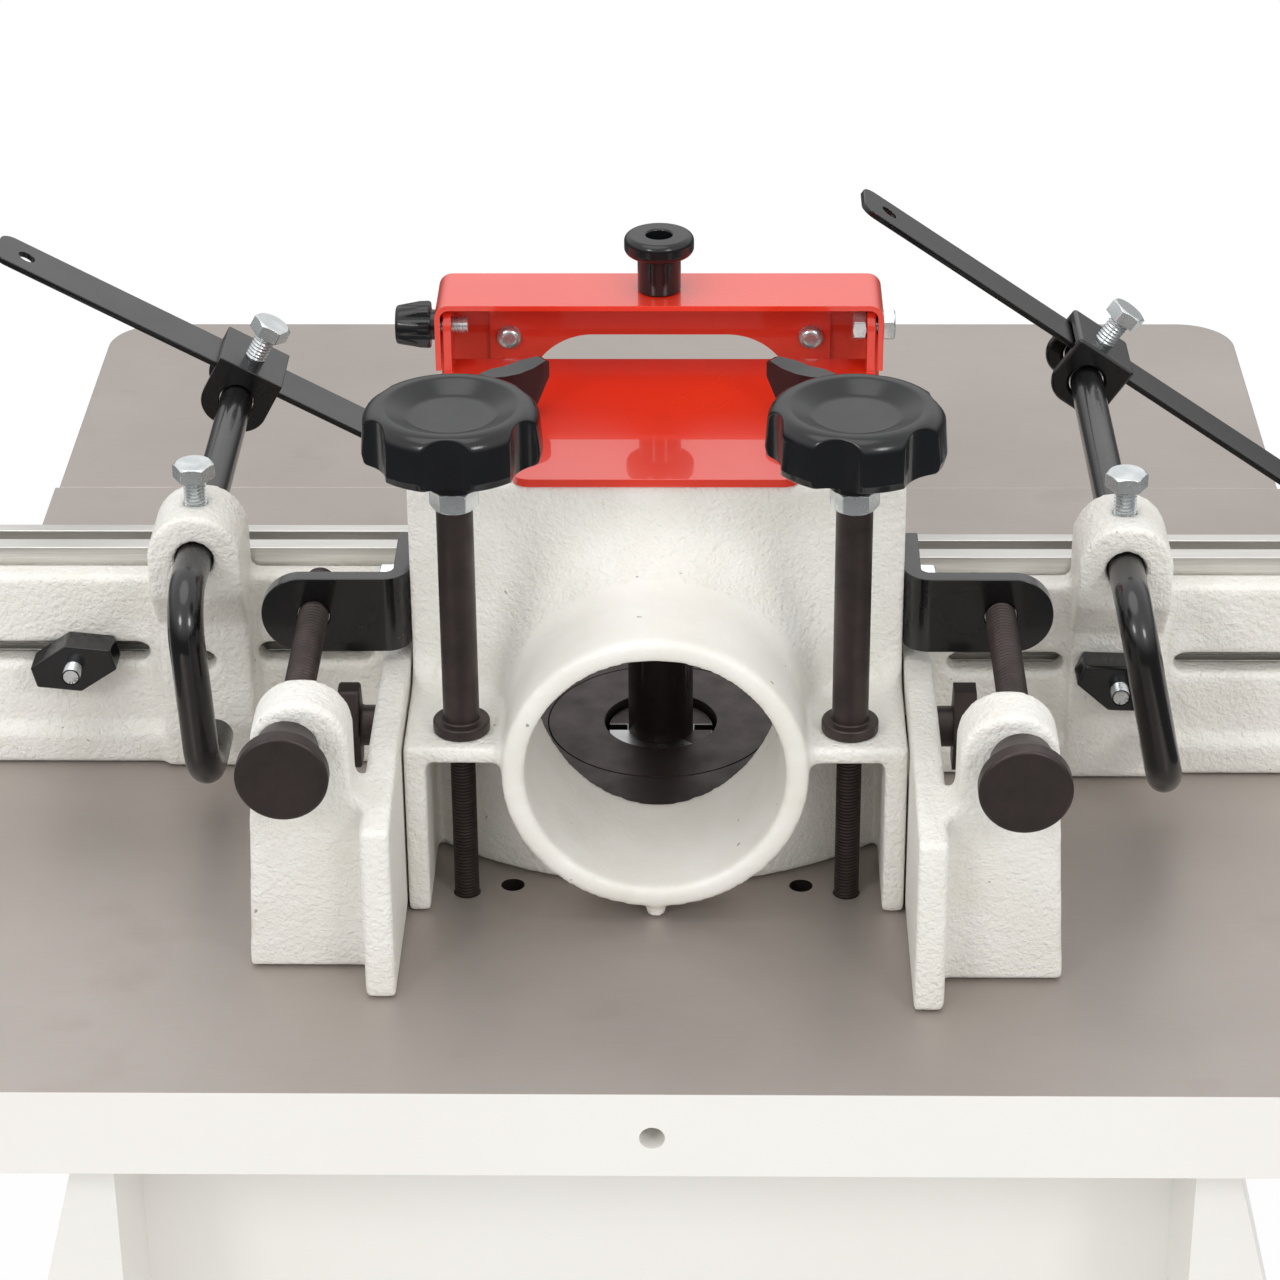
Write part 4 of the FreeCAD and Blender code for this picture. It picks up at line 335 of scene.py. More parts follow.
def ground_iron():
    material, tree, shader = new_finish("ground_iron", linear(175, 167, 161), 0.42, 0.55)
    bloom = spread(tree, noise(tree, BLOOM_GRAIN, detail=7.0), 0.0, 1.0)
    stains = spread(tree, noise(tree, STAIN_GRAIN, detail=5.0), 0.0, STAIN_SHARE, STAIN_FROM, STAIN_TO)
    body = mixed(tree, bloom, linear(182, 174, 168), linear(166, 158, 152))
    wire(tree, mixed(tree, stains, body, linear(146, 135, 126)), shader.inputs["Base Color"])
    lines = noise(tree, LINE_GRAIN, stretch=(1.0, 40.0, 1.0), detail=3.0)
    wire(tree, spread(tree, lines, 0.38, 0.5), shader.inputs["Roughness"])
    relief(tree, shader, lines, 0.04, LINE_DEPTH)
    return material


def drawn_alloy():
    material, tree, shader = new_finish("drawn_alloy", linear(221, 219, 216), 0.34, 1.0)
    lines = noise(tree, LINE_GRAIN / 2, stretch=(1.0, 60.0, 60.0), detail=3.0)
    tones = (linear(228, 226, 222), linear(212, 210, 206))
    vary(tree, shader, spread(tree, lines, 0.0, 1.0), tones, (0.28, 0.42))
    relief(tree, shader, lines, 0.05, LINE_DEPTH)
    return material


IRON = ground_iron()
ALLOY = drawn_alloy()
ZINC = mottled("zinc_plate", (216, 220, 222), 0.26, tones=((226, 230, 232), (200, 205, 206)),
               gloss=(0.18, 0.34), grain=160.0, metallic=0.8)
OXIDE = mottled("black_oxide", (68, 59, 57), 0.42, tones=((73, 63, 61), (56, 49, 47)), gloss=(0.34, 0.5),
                grain=90.0, detail=6.0, metallic=0.6, bump=(1200.0, 2.0, 0.12, 0.0002))
GREY_IRON = mottled("grey_iron", (122, 124, 126), 0.6, tones=((128, 130, 132), (104, 105, 106)),
                    gloss=(0.5, 0.68), grain=50.0, detail=6.0, metallic=0.3, bump=(420.0, 2.0, 0.3, 0.0008))
STEEL = mottled("turned_steel", (196, 197, 199), 0.3, tones=((204, 205, 207), (180, 180, 181)),
                gloss=(0.22, 0.38), grain=40.0, detail=3.0, stretch=(1.0, 1.0, 30.0), metallic=1.0)
print("metals:", ", ".join(m.name for m in (IRON, ZINC, ALLOY, OXIDE, GREY_IRON, STEEL)))

# %% [markdown]
# ## Black pieces and rubber
# Three blacks sit side by side here and differ in gloss. The knobs are moulded plastic, the rods, straps and
# bars wear thick wet enamel, and the belt and the feet are rubber.

# %% Plastics, enamel and rubber
ENAMEL_SHEEN = 0.4


def plain_moulding(name, colour, darker):
    return mottled(name, colour, 0.38, tones=(colour, darker), gloss=(0.3, 0.45), grain=60.0,
                   bump=(1300.0, 2.0, 0.1, 0.0002))


BLACK = mottled("moulded_black", (21, 22, 24), 0.3, tones=((24, 25, 27), (18, 19, 21)), gloss=(0.13, 0.22),
                grain=80.0, detail=5.0, bump=(1500.0, 2.0, 0.05, 0.0002))
ENAMEL = mottled("black_enamel", (12, 11, 12), 0.28, tones=((14, 13, 14), (9, 8, 9)), gloss=(0.2, 0.34),
                 grain=40.0, detail=5.0, bump=(350.0, 2.0, 0.05, 0.0003), coat=(0.6, 0.08))
ENAMEL.node_tree.nodes["Principled BSDF"].inputs["Specular IOR Level"].default_value = ENAMEL_SHEEN
RUBBER = mottled("rubber", (32, 32, 33), 0.75, tones=((36, 36, 37), (26, 26, 27)), gloss=(0.65, 0.85),
                 grain=120.0, detail=5.0, bump=(900.0, 2.0, 0.2, 0.0003))
MOTOR_GREY = plain_moulding("motor_paint", (92, 97, 102), (82, 86, 91))
SWITCH_BLACK = plain_moulding("switch_case", (40, 41, 43), (33, 34, 36))
GREEN_BUTTON = plain_moulding("green_button", (34, 128, 60), (28, 112, 52))
RED_BUTTON = plain_moulding("red_button", (200, 34, 30), (182, 28, 26))
FINISHES = {
    "table_iron": IRON, "white_casting": CAST_WHITE, "white_sheet": SHEET_WHITE, "red_paint": RED,
    "black_knob": BLACK, "black_oxide": OXIDE, "black_enamel": ENAMEL, "zinc": ZINC,
    "board_alloy": ALLOY, "machine_iron": GREY_IRON, "bright_steel": STEEL, "motor_paint": MOTOR_GREY,
    "belt_rubber": RUBBER, "switch_case": SWITCH_BLACK, "green_button": GREEN_BUTTON,
    "red_button": RED_BUTTON,
}
print(len(FINISHES), "finishes")

# %% [markdown]
# ## Edges that catch the light
# No real edge is razor sharp: paint rounds it, and a file breaks it. A solid from engineering software
# comes as loose triangles, so a copy is welded, its flat faces are made whole again, and each sharp edge
# is bevelled by two millimetres at most. Weighted normals then keep the flat faces flat. A piece may also
# lose some faces before the bevel, gain finer meshes after it, and wear a second finish.

# %% Rounded copies
WELD = 0.00001
FINE_WELD = WELD / 10
FLAT_ANGLE = math.radians(0.4)
SHARP_ANGLE = math.radians(28.0)
SMOOTH_ANGLE = math.radians(50.0)


def welded(node):
    shape = bmesh.new()
    shape.from_mesh(nodes[node].data)
    bmesh.ops.remove_doubles(shape, verts=shape.verts, dist=WELD)
    return shape


def bevelled(shape, width, segments=2):
    bmesh.ops.dissolve_limit(shape, angle_limit=FLAT_ANGLE, verts=shape.verts, edges=shape.edges)
    sharp = [edge for edge in shape.edges
             if edge.is_manifold and edge.calc_face_angle() > SHARP_ANGLE]
    bmesh.ops.bevel(shape, geom=sharp, offset=width * MM, segments=segments, profile=0.5, affect="EDGES",
                    clamp_overlap=True)


def show(name, shape, node, finishes=None):
    """Puts a finished shape in the scene in place of a solid, on the same body and in the same slot."""
    mesh = bpy.data.meshes.new(name)
    shape.to_mesh(mesh)
    shape.free()
    for face in mesh.polygons:
        face.use_smooth = True
    mesh.set_sharp_from_angle(angle=SMOOTH_ANGLE)
    for finish in finishes or (FINISHES[slot_of[node]],):
        mesh.materials.append(finish)
    piece = add_object(name, mesh)
    piece.modifiers.new("flat_faces", "WEIGHTED_NORMAL").keep_sharp = True
    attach(piece, body_of[node])
    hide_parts(node)
    return piece


def gather(shape, meshes):
    """Adds new meshes, each paired with the number of its finish, to a shape."""
    for mesh, finish in meshes:
        for face in mesh.polygons:
            face.material_index = finish
        shape.from_mesh(mesh)
        bpy.data.meshes.remove(mesh)


def dressed(node, width, trim=None, paint=None, extras=(), finishes=None, segments=2, bend=None):
    """A bevelled copy: bend moves points, trim picks faces to drop, and paint picks a face's finish."""
    shape = welded(node)
    if bend:
        bend(shape)
    if trim:
        bmesh.ops.delete(shape, geom=[face for face in shape.faces if trim(face)], context="FACES")
    bevelled(shape, width, segments)
    for face in shape.faces:
        face.material_index = paint(face) if paint else 0
    gather(shape, extras)
    return show(f"{node}_dressed", shape, node, finishes)


def angles_of(count):
    return [math.tau * index / count for index in range(count)]


def ring_mesh(rings):
    """Joins rings of points, from the bottom one to the top one, and closes both ends."""
    shape = bmesh.new()
    rows = [[shape.verts.new(point) for point in ring] for ring in rings]
    count = len(rows[0])
    for lower, upper in zip(rows, rows[1:]):
        for index in range(count):
            following = (index + 1) % count
            shape.faces.new((lower[index], lower[following], upper[following], upper[index]))
    shape.faces.new(list(reversed(rows[0])))
    shape.faces.new(rows[-1])
    bmesh.ops.remove_doubles(shape, verts=shape.verts, dist=FINE_WELD)
    bmesh.ops.recalc_face_normals(shape, faces=shape.faces)
    mesh = bpy.data.meshes.new("rings")
    shape.to_mesh(mesh)
    shape.free()
    return mesh


print("edges sharper than", round(math.degrees(SHARP_ANGLE)), "degrees are bevelled")

# %% [markdown]
# ## Plain pieces
# Most pieces only need their edges broken. The widths below are in millimetres: a plain machined part gets
# about a third of a millimetre, and the pieces that are named get more.

# %% Plain pieces
EDGE_WIDTHS = {
    "cabinet_shell": 1.6, "rear_panel": 0.5, "levelling_feet": 1.0, "guard_base": 0.7, "guard_hood": 0.5,
    "adjust_brackets": 0.8, "switch_box": 1.5, "motor": 2.0, "lift_slide": 1.5, "lift_way": 1.5,
    "gear_bracket": 1.5, "hold_down_bar_infeed": 0.4, "hold_down_bar_outfeed": 0.4,
    "lock_knob_infeed": 1.1, "lock_knob_outfeed": 1.1, "hood_handle": 0.8, "clamp_sleeves": 1.2,
}
PLAIN_EDGE = 0.3
CASTINGS = {"fence_housing": (1.4, 9), "fence_casting_infeed": (1.4, 5), "fence_casting_outfeed": (1.4, 5),
            "handwheel": (1.1, 5)}
SPECIAL = {"table_main", "table_wing", "bracket_bolts", "hood_pivot_bolt", "spindle_nut", "spindle_shaft",
           "clamp_studs", "hood_lock_knob"}
for name in ("infeed", "outfeed"):
    SPECIAL |= {f"{piece}_{name}" for piece in ("post_bolt", "hold_down_clamp", "adjust_screw", "wing_knob",
                                                "clamp_knob", "guard_wing_knob")}
plain = [node for node in nodes if node not in SPECIAL and node not in CASTINGS]
for node in plain:
    dressed(node, EDGE_WIDTHS.get(node, PLAIN_EDGE))
print(len(plain), "pieces with broken edges")

# %% [markdown]
# ## The table
# Only the top of an iron table is ground bright. Its sides and underside keep the maker's white paint. The
# faces could be split into two pieces, but a second finish on the same piece is simpler: a face is bare
# iron where it looks up, or where it lies in a slot cut from the top, away from the outer edge. The walls
# of two spare holes behind the fence wear the dark oxide finish, as painted shade inside the holes.

# %% Table
HOLE_ASIDE, HOLE_BACK = 49.8 * MM, 179.95 * MM
SPARE_HOLES = [Vector((side * HOLE_ASIDE, HOLE_BACK, 0.0)) for side in (1, -1)]
HOLE_REACH, RIM, SLOT_DEPTH = 4.8 * MM, 4 * MM, 12 * MM
FACES_UP, FACES_SIDEWAYS = 0.35, 0.5
TABLE_EDGE = 0.7


def table(node):
    low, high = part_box(node)

    def bare(face):
        middle = face.calc_center_median()
        inside = low.x + RIM < middle.x < high.x - RIM and low.y + RIM < middle.y < high.y - RIM
        near_top = middle.z > high.z - SLOT_DEPTH
        in_shaded_hole = any((middle - hole).xy.length < HOLE_REACH for hole in SPARE_HOLES)
        # Painted shade: the walls of the two spare holes take the dark oxide finish.
        if abs(face.normal.z) < FACES_SIDEWAYS and in_shaded_hole:
            return 2
        return 0 if near_top and (face.normal.z > FACES_UP or inside) else 1
    return dressed(node, TABLE_EDGE, paint=bare, finishes=(IRON, SHEET_WHITE, OXIDE), segments=3)


for node in ("table_main", "table_wing"):
    print(table(node).name, "iron on top and paint on its sides")

# %% [markdown]
# ## Castings
# A casting has no sharp edge anywhere: outside corners are worn round in the pattern, and inside corners
# are filled so that the iron flows. A voxel remesh of the solid, followed by a few rounds of smoothing,
# gives both at once. The voxel is the first number in CASTINGS, in millimetres, and the second is the rounds.
# A remesh also joins solids that overlap, so the trough in which the outlet's floor runs on into the housing
# is simply laid over the solid first.

# %% Castings
port = next(mount for mount in record["mounts"] if mount["name"] == "dust_port")
OUTLET_AXIS, OUTLET_BORE = Vector(port["pos_m"]), port["dims"]["r_mm"]
OUTLET_REACH, OUTLET_FROM = 53.5 * MM, 120 * MM
FLOOR_WALL, FLOOR_REAR, FLOOR_SWEEP, FLOOR_STEPS = 5.5, 178.0, 95, 40
SPINDLE_BACK, CHAMBER_RADIUS = 64.35, 82.0
SOFTEN_SHARE = 0.5


def outlet_floor():
    """The trough in which the outlet's round floor runs on towards the cutter, as a closed mesh."""
    rings = []
    for step in range(FLOOR_STEPS + 1):
        angle = math.radians(-FLOOR_SWEEP + 2 * FLOOR_SWEEP * step / FLOOR_STEPS)
        ring = []
        for radius, front in ((OUTLET_BORE, True), (OUTLET_BORE, False), (OUTLET_BORE + FLOOR_WALL, False),
                              (OUTLET_BORE + FLOOR_WALL, True)):
            x = radius * math.sin(angle)
            y = SPINDLE_BACK + math.sqrt(CHAMBER_RADIUS ** 2 - x ** 2) if front else FLOOR_REAR
            ring.append((x * MM, y * MM, OUTLET_AXIS.z - radius * math.cos(angle) * MM))
        rings.append(ring)
    return ring_mesh(rings)


def on_outlet(face):
    """One for the round outlet, which is rubbed smooth, and zero for the rest of a casting."""
    middle = face.calc_center_median()
    from_axis = math.hypot(middle.x - OUTLET_AXIS.x, middle.z - OUTLET_AXIS.z)
    return 1 if from_axis < OUTLET_REACH and middle.y > OUTLET_FROM else 0


def cast(node, voxel, rounds):
    shape = welded(node)
    if node == "fence_housing":
        gather(shape, [(outlet_floor(), 0)])
    mesh = bpy.data.meshes.new(f"{node}_raw")
    shape.to_mesh(mesh)
    shape.free()
    raw = add_object(f"{node}_raw", mesh)
    remesh = raw.modifiers.new("voxels", "REMESH")
    remesh.mode = "VOXEL"
    remesh.voxel_size = voxel * MM
    soften = raw.modifiers.new("soften", "SMOOTH")
    soften.factor = SOFTEN_SHARE
    soften.iterations = rounds
    evaluated = raw.evaluated_get(bpy.context.evaluated_depsgraph_get())
    result = bpy.data.meshes.new_from_object(evaluated)
    bpy.data.objects.remove(raw)
    shape = bmesh.new()
    shape.from_mesh(result)
    bpy.data.meshes.remove(result)
    finishes = [FINISHES[slot_of[node]]]
    if node == "fence_housing":
        finishes.append(SMOOTH_CAST)
        for face in shape.faces:
            face.material_index = on_outlet(face)
    piece = show(f"{node}_cast", shape, node, finishes)
    piece.modifiers.clear()
    return piece


for node, (voxel, rounds) in CASTINGS.items():
    piece = cast(node, voxel, rounds)
    print(piece.name, len(piece.data.polygons), "faces")

# %% [markdown]
# ## A thread tree in Geometry Nodes
# A screw thread follows a rule: going once round the screw climbs one pitch. The tree below takes a flat
# grid and rolls it into a tube whose rows climb in that way, so a row always runs along a crest or a root.
# A wave with flat tops moves the rows in and out, as a real thread has flat crests and roots, and both ends
# are cut level and closed at the axis. The inputs are the real sizes of the thread.

# %% Thread tree
GRID_HALF = 0.5
SPARE_TURNS, TURNS_BELOW = 2, 1.5
WAVE_SHIFT, HALF_TURN, FLANK_RISE, FLANK_START = 0.125, 0.5, 4.0, -0.5
END_SHARE = 0.0001
STEPS_PER_TURN = 4
THREAD_DEPTH_SHARE = 0.5


def new_tree(name, decimals, counts=(), takes_geometry=False):
    """An empty tree with number inputs, a finish, and a step function that does sums in it."""
    tree = bpy.data.node_groups.new(name, "GeometryNodeTree")
    sockets = [("Geometry", "NodeSocketGeometry")] if takes_geometry else []
    sockets += [(title, "NodeSocketFloat") for title in decimals]
    sockets += [(title, "NodeSocketInt") for title in counts] + [("Finish", "NodeSocketMaterial")]
    for title, kind in sockets:
        tree.interface.new_socket(title, in_out="INPUT", socket_type=kind)
    tree.interface.new_socket("Geometry", in_out="OUTPUT", socket_type="NodeSocketGeometry")

    def step(operation, *values):
        return sum_node(tree, operation, *values)
    return tree, tree.nodes.new("NodeGroupInput").outputs, step


def split_position(tree):
    parts = tree.nodes.new("ShaderNodeSeparateXYZ")
    wire(tree, tree.nodes.new("GeometryNodeInputPosition").outputs[0], parts.inputs[0])
    return parts.outputs


def moved(tree, geometry, x, y, z):
    place = tree.nodes.new("ShaderNodeCombineXYZ")
    for socket, value in zip(place.inputs, (x, y, z)):
        wire(tree, value, socket)
    node = tree.nodes.new("GeometryNodeSetPosition")
    wire(tree, geometry, node.inputs["Geometry"])
    wire(tree, place.outputs[0], node.inputs["Position"])
    return node.outputs["Geometry"]


def end_tree(tree, geometry, finish):
    """The last steps of every tree: real faces, and their finish."""
    real = tree.nodes.new("GeometryNodeRealizeInstances")
    coat = tree.nodes.new("GeometryNodeSetMaterial")
    wire(tree, geometry, real.inputs["Geometry"])
    wire(tree, real.outputs["Geometry"], coat.inputs["Geometry"])
    wire(tree, finish, coat.inputs["Material"])
    wire(tree, coat.outputs["Geometry"], tree.nodes.new("NodeGroupOutput").inputs["Geometry"])
    return tree


def thread_tree():
    tree, inputs, step = new_tree("screw_thread", ("Radius", "Depth", "Pitch", "Length"), ("Around", "Along"))
    grid = tree.nodes.new("GeometryNodeMeshGrid")
    wire(tree, inputs["Around"], grid.inputs["Vertices X"])
    wire(tree, inputs["Along"], grid.inputs["Vertices Y"])
    x, y, _ = split_position(tree)
    turn_share = step("ADD", x, GRID_HALF)
    rise_share = step("ADD", y, GRID_HALF)
    angle = step("MULTIPLY", turn_share, math.tau)
    rows_rise = step("ADD", inputs["Length"], step("MULTIPLY", inputs["Pitch"], SPARE_TURNS))
    turns = step("DIVIDE", step("MULTIPLY", rise_share, rows_rise), inputs["Pitch"])
    climbed = step("SUBTRACT", step("ADD", turns, turn_share), TURNS_BELOW)
    height = step("MAXIMUM", 0.0, step("MULTIPLY", climbed, inputs["Pitch"]))
    height = step("MINIMUM", inputs["Length"], height)
    wave = step("PINGPONG", step("ADD", turns, WAVE_SHIFT), HALF_TURN)
    steep = step("MULTIPLY_ADD", wave, FLANK_RISE, FLANK_START)
    groove = step("MINIMUM", 1.0, step("MAXIMUM", 0.0, steep))
    radius = step("SUBTRACT", inputs["Radius"], step("MULTIPLY", groove, inputs["Depth"]))
    open_part = step("MULTIPLY", step("GREATER_THAN", rise_share, END_SHARE),
                     step("LESS_THAN", rise_share, 1.0 - END_SHARE))
    closed = step("MULTIPLY", radius, open_part)
    rolled = moved(tree, grid.outputs["Mesh"], step("MULTIPLY", closed, step("COSINE", angle)),
                   step("MULTIPLY", closed, step("SINE", angle)), height)
    merge = tree.nodes.new("GeometryNodeMergeByDistance")
    merge.inputs["Distance"].default_value = FINE_WELD
    wire(tree, rolled, merge.inputs["Geometry"])
    return end_tree(tree, merge.outputs["Geometry"], inputs["Finish"])


def run_tree(tree, finish, values, start=None):
    """Evaluates a tree on a mesh, or on none, and gives the result as a plain mesh."""
    worker = add_object("worker", start or bpy.data.meshes.new("worker"))
    maker = worker.modifiers.new("maker", "NODES")
    maker.node_group = tree
    sockets = {item.name: item.identifier for item in tree.interface.items_tree if item.in_out == "INPUT"}
    for title, value in {**values, "Finish": finish}.items():
        maker[sockets[title]] = value
    result = bpy.data.meshes.new_from_object(worker.evaluated_get(bpy.context.evaluated_depsgraph_get()))
    worker.modifiers.remove(maker)
    bpy.data.objects.remove(worker)
    return result


THREAD = thread_tree()


def thread(radius, pitch, length, finish, around=48):
    """A thread of real sizes, in millimetres, that climbs from the origin along Z."""
    turns = math.ceil(length / pitch)
    mesh = run_tree(THREAD, finish, {
        "Radius": radius * MM, "Depth": pitch * THREAD_DEPTH_SHARE * MM, "Pitch": length / turns * MM,
        "Length": length * MM, "Around": around + 1, "Along": (turns + SPARE_TURNS) * STEPS_PER_TURN + 1})
    shape = bmesh.new()
    shape.from_mesh(mesh)
    bmesh.ops.recalc_face_normals(shape, faces=shape.faces)
    shape.to_mesh(mesh)
    shape.free()
    return mesh


BOLT_RADIUS, BOLT_PITCH = 4.0, 1.41
sample = thread(BOLT_RADIUS, BOLT_PITCH, 10 * BOLT_PITCH, ZINC)
print("ten turns of a thread have", len(sample.polygons), "faces")
bpy.data.meshes.remove(sample)

# %% [markdown]
# ## Hexagon heads and nuts
# The corners of a real hexagon head are turned off at about 30 degrees, which draws the arcs that one sees
# on its flats. At every angle the head reaches out to the nearer of two limits: the flat of the hexagon, or
# the cone of the chamfer. Rings of points at those distances give the shape without any cutting.

# %% Hexagons
HEX_SAMPLES = 96
CHAMFER_SLOPE = math.tan(math.radians(30.0))
CHAMFER_STEPS = 6
FACE_SHARE = 0.94


def seat(origin, axis, corner):
    """The place of a fastener: its axis, and the way that one of its corners points."""
    z = Vector(axis).normalized()
    x = Vector(corner).normalized()
    y = z.cross(x)
    return Matrix.Translation(origin) @ Matrix((x, y, z)).transposed().to_4x4()


def hexagon(across, height, both_ends=False):
    """A hexagon in millimetres that stands on the origin; its upper corners, or both, are turned off."""
    flat = across / 2
    corner_cut = (flat / math.cos(math.pi / 6) - flat * FACE_SHARE) * CHAMFER_SLOPE
    levels = [step / CHAMFER_STEPS * corner_cut for step in range(CHAMFER_STEPS + 1)]
    heights = (levels if both_ends else [0.0]) + [height - level for level in reversed(levels)]

    def reach(angle, z):
        hexagonal = flat / math.cos((angle % (math.pi / 3)) - math.pi / 6)
        from_end = min(height - z, z if both_ends else height)
        return min(hexagonal, flat * FACE_SHARE + from_end / CHAMFER_SLOPE)
    return ring_mesh([[(reach(a, z) * math.cos(a) * MM, reach(a, z) * math.sin(a) * MM, z * MM)
                       for a in angles_of(HEX_SAMPLES)] for z in heights])


def placed(mesh, place):
    mesh.transform(place)
    return mesh


def build(node, meshes, finishes=None):
    """A piece made only of new meshes."""
    shape = bmesh.new()
    gather(shape, meshes)
    return show(f"{node}_dressed", shape, node, finishes)


sides = {"infeed": 1, "outfeed": -1}
UP, ALONG = Vector((0, 0, 1)), Vector((1, 0, 0))
HEAD_HEIGHT = 5.5
OVERLAP = 1
for name in sides:
    node = f"post_bolt_{name}"
    low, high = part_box(node)
    middle = (low + high) / 2
    across, shank = (high.y - low.y) / MM, (high.z - low.z) / MM - HEAD_HEIGHT
    tip = Vector((middle.x, middle.y, low.z))
    screw = thread(BOLT_RADIUS, BOLT_PITCH, shank + OVERLAP, ZINC)
    build(node, [(placed(screw, seat(tip, UP, ALONG)), 0),
                 (placed(hexagon(across, HEAD_HEIGHT), seat(tip + UP * shank * MM, UP, ALONG)), 0)])
    print(node, round(across, 1), "mm across its flats")

# %% [markdown]
# ## More bolts, nuts and studs
# The bracket bolts and the hood's pivot bolt with its nut lie along X. The spindle's nut is upright, and so
# are the black studs with jam nuts under the big knobs. Widths and places come from the boxes of the solids
# they replace.

# %% Bolts and nuts
BRACKET_HEAD = 6.0
low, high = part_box("bracket_bolts")
middle = (low + high) / 2
bolts = []
for side in sides.values():
    outer = Vector((side * high.x, middle.y, middle.z))
    under = outer - ALONG * side * BRACKET_HEAD * MM
    bolts.append((placed(hexagon((high.y - low.y) / MM, BRACKET_HEAD), seat(under, ALONG * side, UP)), 0))
build("bracket_bolts", bolts)

PIVOT_HEAD, PIVOT_NUT, PIVOT_RADIUS, SMALL_PITCH = 4.0, 5.0, 3.0, 1.0
low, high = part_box("hood_pivot_bolt")
middle = (low + high) / 2
across, length = (high.y - low.y) / MM, (high.x - low.x) / MM
head, root, nut = (Vector((low.x + along * MM, middle.y, middle.z))
                   for along in (PIVOT_HEAD, PIVOT_HEAD / 2, length - PIVOT_NUT))
screw = thread(PIVOT_RADIUS, SMALL_PITCH, length - PIVOT_NUT / 2, ZINC)
build("hood_pivot_bolt", [(placed(hexagon(across, PIVOT_HEAD), seat(head, -ALONG, UP)), 0),
                          (placed(hexagon(across, PIVOT_NUT, True), seat(nut, ALONG, UP)), 0),
                          (placed(screw, seat(root, ALONG, UP)), 0)])

low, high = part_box("spindle_nut")
foot = Vector(((low.x + high.x) / 2, (low.y + high.y) / 2, low.z))
nut = hexagon((high.y - low.y) / MM, (high.z - low.z) / MM, True)
build("spindle_nut", [(placed(nut, seat(foot, UP, ALONG)), 0)])

NUT_HEIGHT = 7.5
STUD_RADIUS, STUD_PITCH, STUD_SAMPLES = 4.25, 1.25, 48
sleeve_low, sleeve_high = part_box("clamp_sleeves")
low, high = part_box("clamp_studs")
studs = []
for name in sides:
    middle = sum(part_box(f"clamp_knob_{name}"), Vector()) / 2
    foot, shelf, top = (Vector((middle.x, middle.y, level)) for level in (low.z, sleeve_low.z, sleeve_high.z))
    rod = [[(STUD_RADIUS * math.cos(a) * MM, STUD_RADIUS * math.sin(a) * MM, z)
            for a in angles_of(STUD_SAMPLES)] for z in (0.0, high.z - shelf.z)]
    screw = thread(STUD_RADIUS, STUD_PITCH, (shelf.z - foot.z) / MM, OXIDE)
    studs += [(placed(screw, seat(foot, UP, ALONG)), 0),
              (placed(ring_mesh(rod), seat(shelf, UP, ALONG)), 0),
              (placed(hexagon((high.y - low.y) / MM, NUT_HEIGHT, True), seat(top, UP, ALONG)), 1)]
build("clamp_studs", studs, (OXIDE, ZINC))
print("hexagons on bracket bolts, pivot bolt, spindle nut and clamp studs")

# %% [markdown]
# ## The fine adjusters and the arbor
# Each fence half is moved by a long black screw with a fine thread and a round knob. The solid has a plain
# rod there. Its faces are dropped and the thread tree fills the place, at the same outer radius. The tip
# of the cutter arbor gets its thread in the same way.

# %% Screws
def rod_faces(centre, axis, radius, low, high):
    """A test for faces of a rod about an axis, between two heights on it."""
    def test(face):
        from_axis = [(vert.co - centre) - axis * (vert.co - centre).dot(axis) for vert in face.verts]
        height = (face.calc_center_median() - centre).dot(axis)
        thin = max(line.length for line in from_axis) < radius * MM + 2 * WELD
        return thin and low * MM < height < high * MM
    return test


BACK = Vector((0, 1, 0))
SCREW_RADIUS, SCREW_PITCH, SCREW_LENGTH, SCREW_EDGE = 5.2, 2.1, 93.7, 0.4
for name in sides:
    node = f"adjust_screw_{name}"
    low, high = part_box(node)
    middle = (low + high) / 2
    tip = Vector((middle.x, low.y, middle.z))
    screw = thread(SCREW_RADIUS, SCREW_PITCH, SCREW_LENGTH + OVERLAP, OXIDE)
    dressed(node, SCREW_EDGE, trim=rod_faces(tip, BACK, SCREW_RADIUS, -OVERLAP, SCREW_LENGTH),
            extras=[(placed(screw, seat(tip, BACK, ALONG)), 0)])

low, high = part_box("spindle_shaft")
centre = Vector(((low.x + high.x) / 2, (low.y + high.y) / 2, high.z))
nut_top = (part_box("spindle_nut")[1].z - high.z) / MM
FLANGE_FROM, FLANGE_TO, LEVEL = 7.0, 19.5, 0.9


def bright_flange(face):
    """The ring under the collars is ground bright; the rest of the shaft is black."""
    middle = face.calc_center_median()
    radius = (middle - centre).xy.length / MM
    return 1 if face.normal.z > LEVEL and FLANGE_FROM < radius < FLANGE_TO else 0


ARBOR_RADIUS, ARBOR_PITCH = 6.35, 1.8
screw = thread(ARBOR_RADIUS, ARBOR_PITCH, -nut_top + OVERLAP, STEEL)
root = centre + UP * (nut_top - OVERLAP) * MM
dressed("spindle_shaft", PLAIN_EDGE, trim=rod_faces(centre, UP, ARBOR_RADIUS, nut_top, OVERLAP),
        paint=bright_flange, extras=[(placed(screw, seat(root, UP, ALONG)), 1)], finishes=(OXIDE, STEEL))
print("threads on two adjusters and the arbor")

# %% [markdown]
# ## Straps of the hold-downs
# A bent black strap grips the end of each rod, and a zinc bolt presses the spring bar down in it. Strap and
# bolt are one solid, and they lean with the bar. In the strap's own directions everything above its cap
# is the bolt, so those faces go, and a threaded bolt with a proper head takes their place.

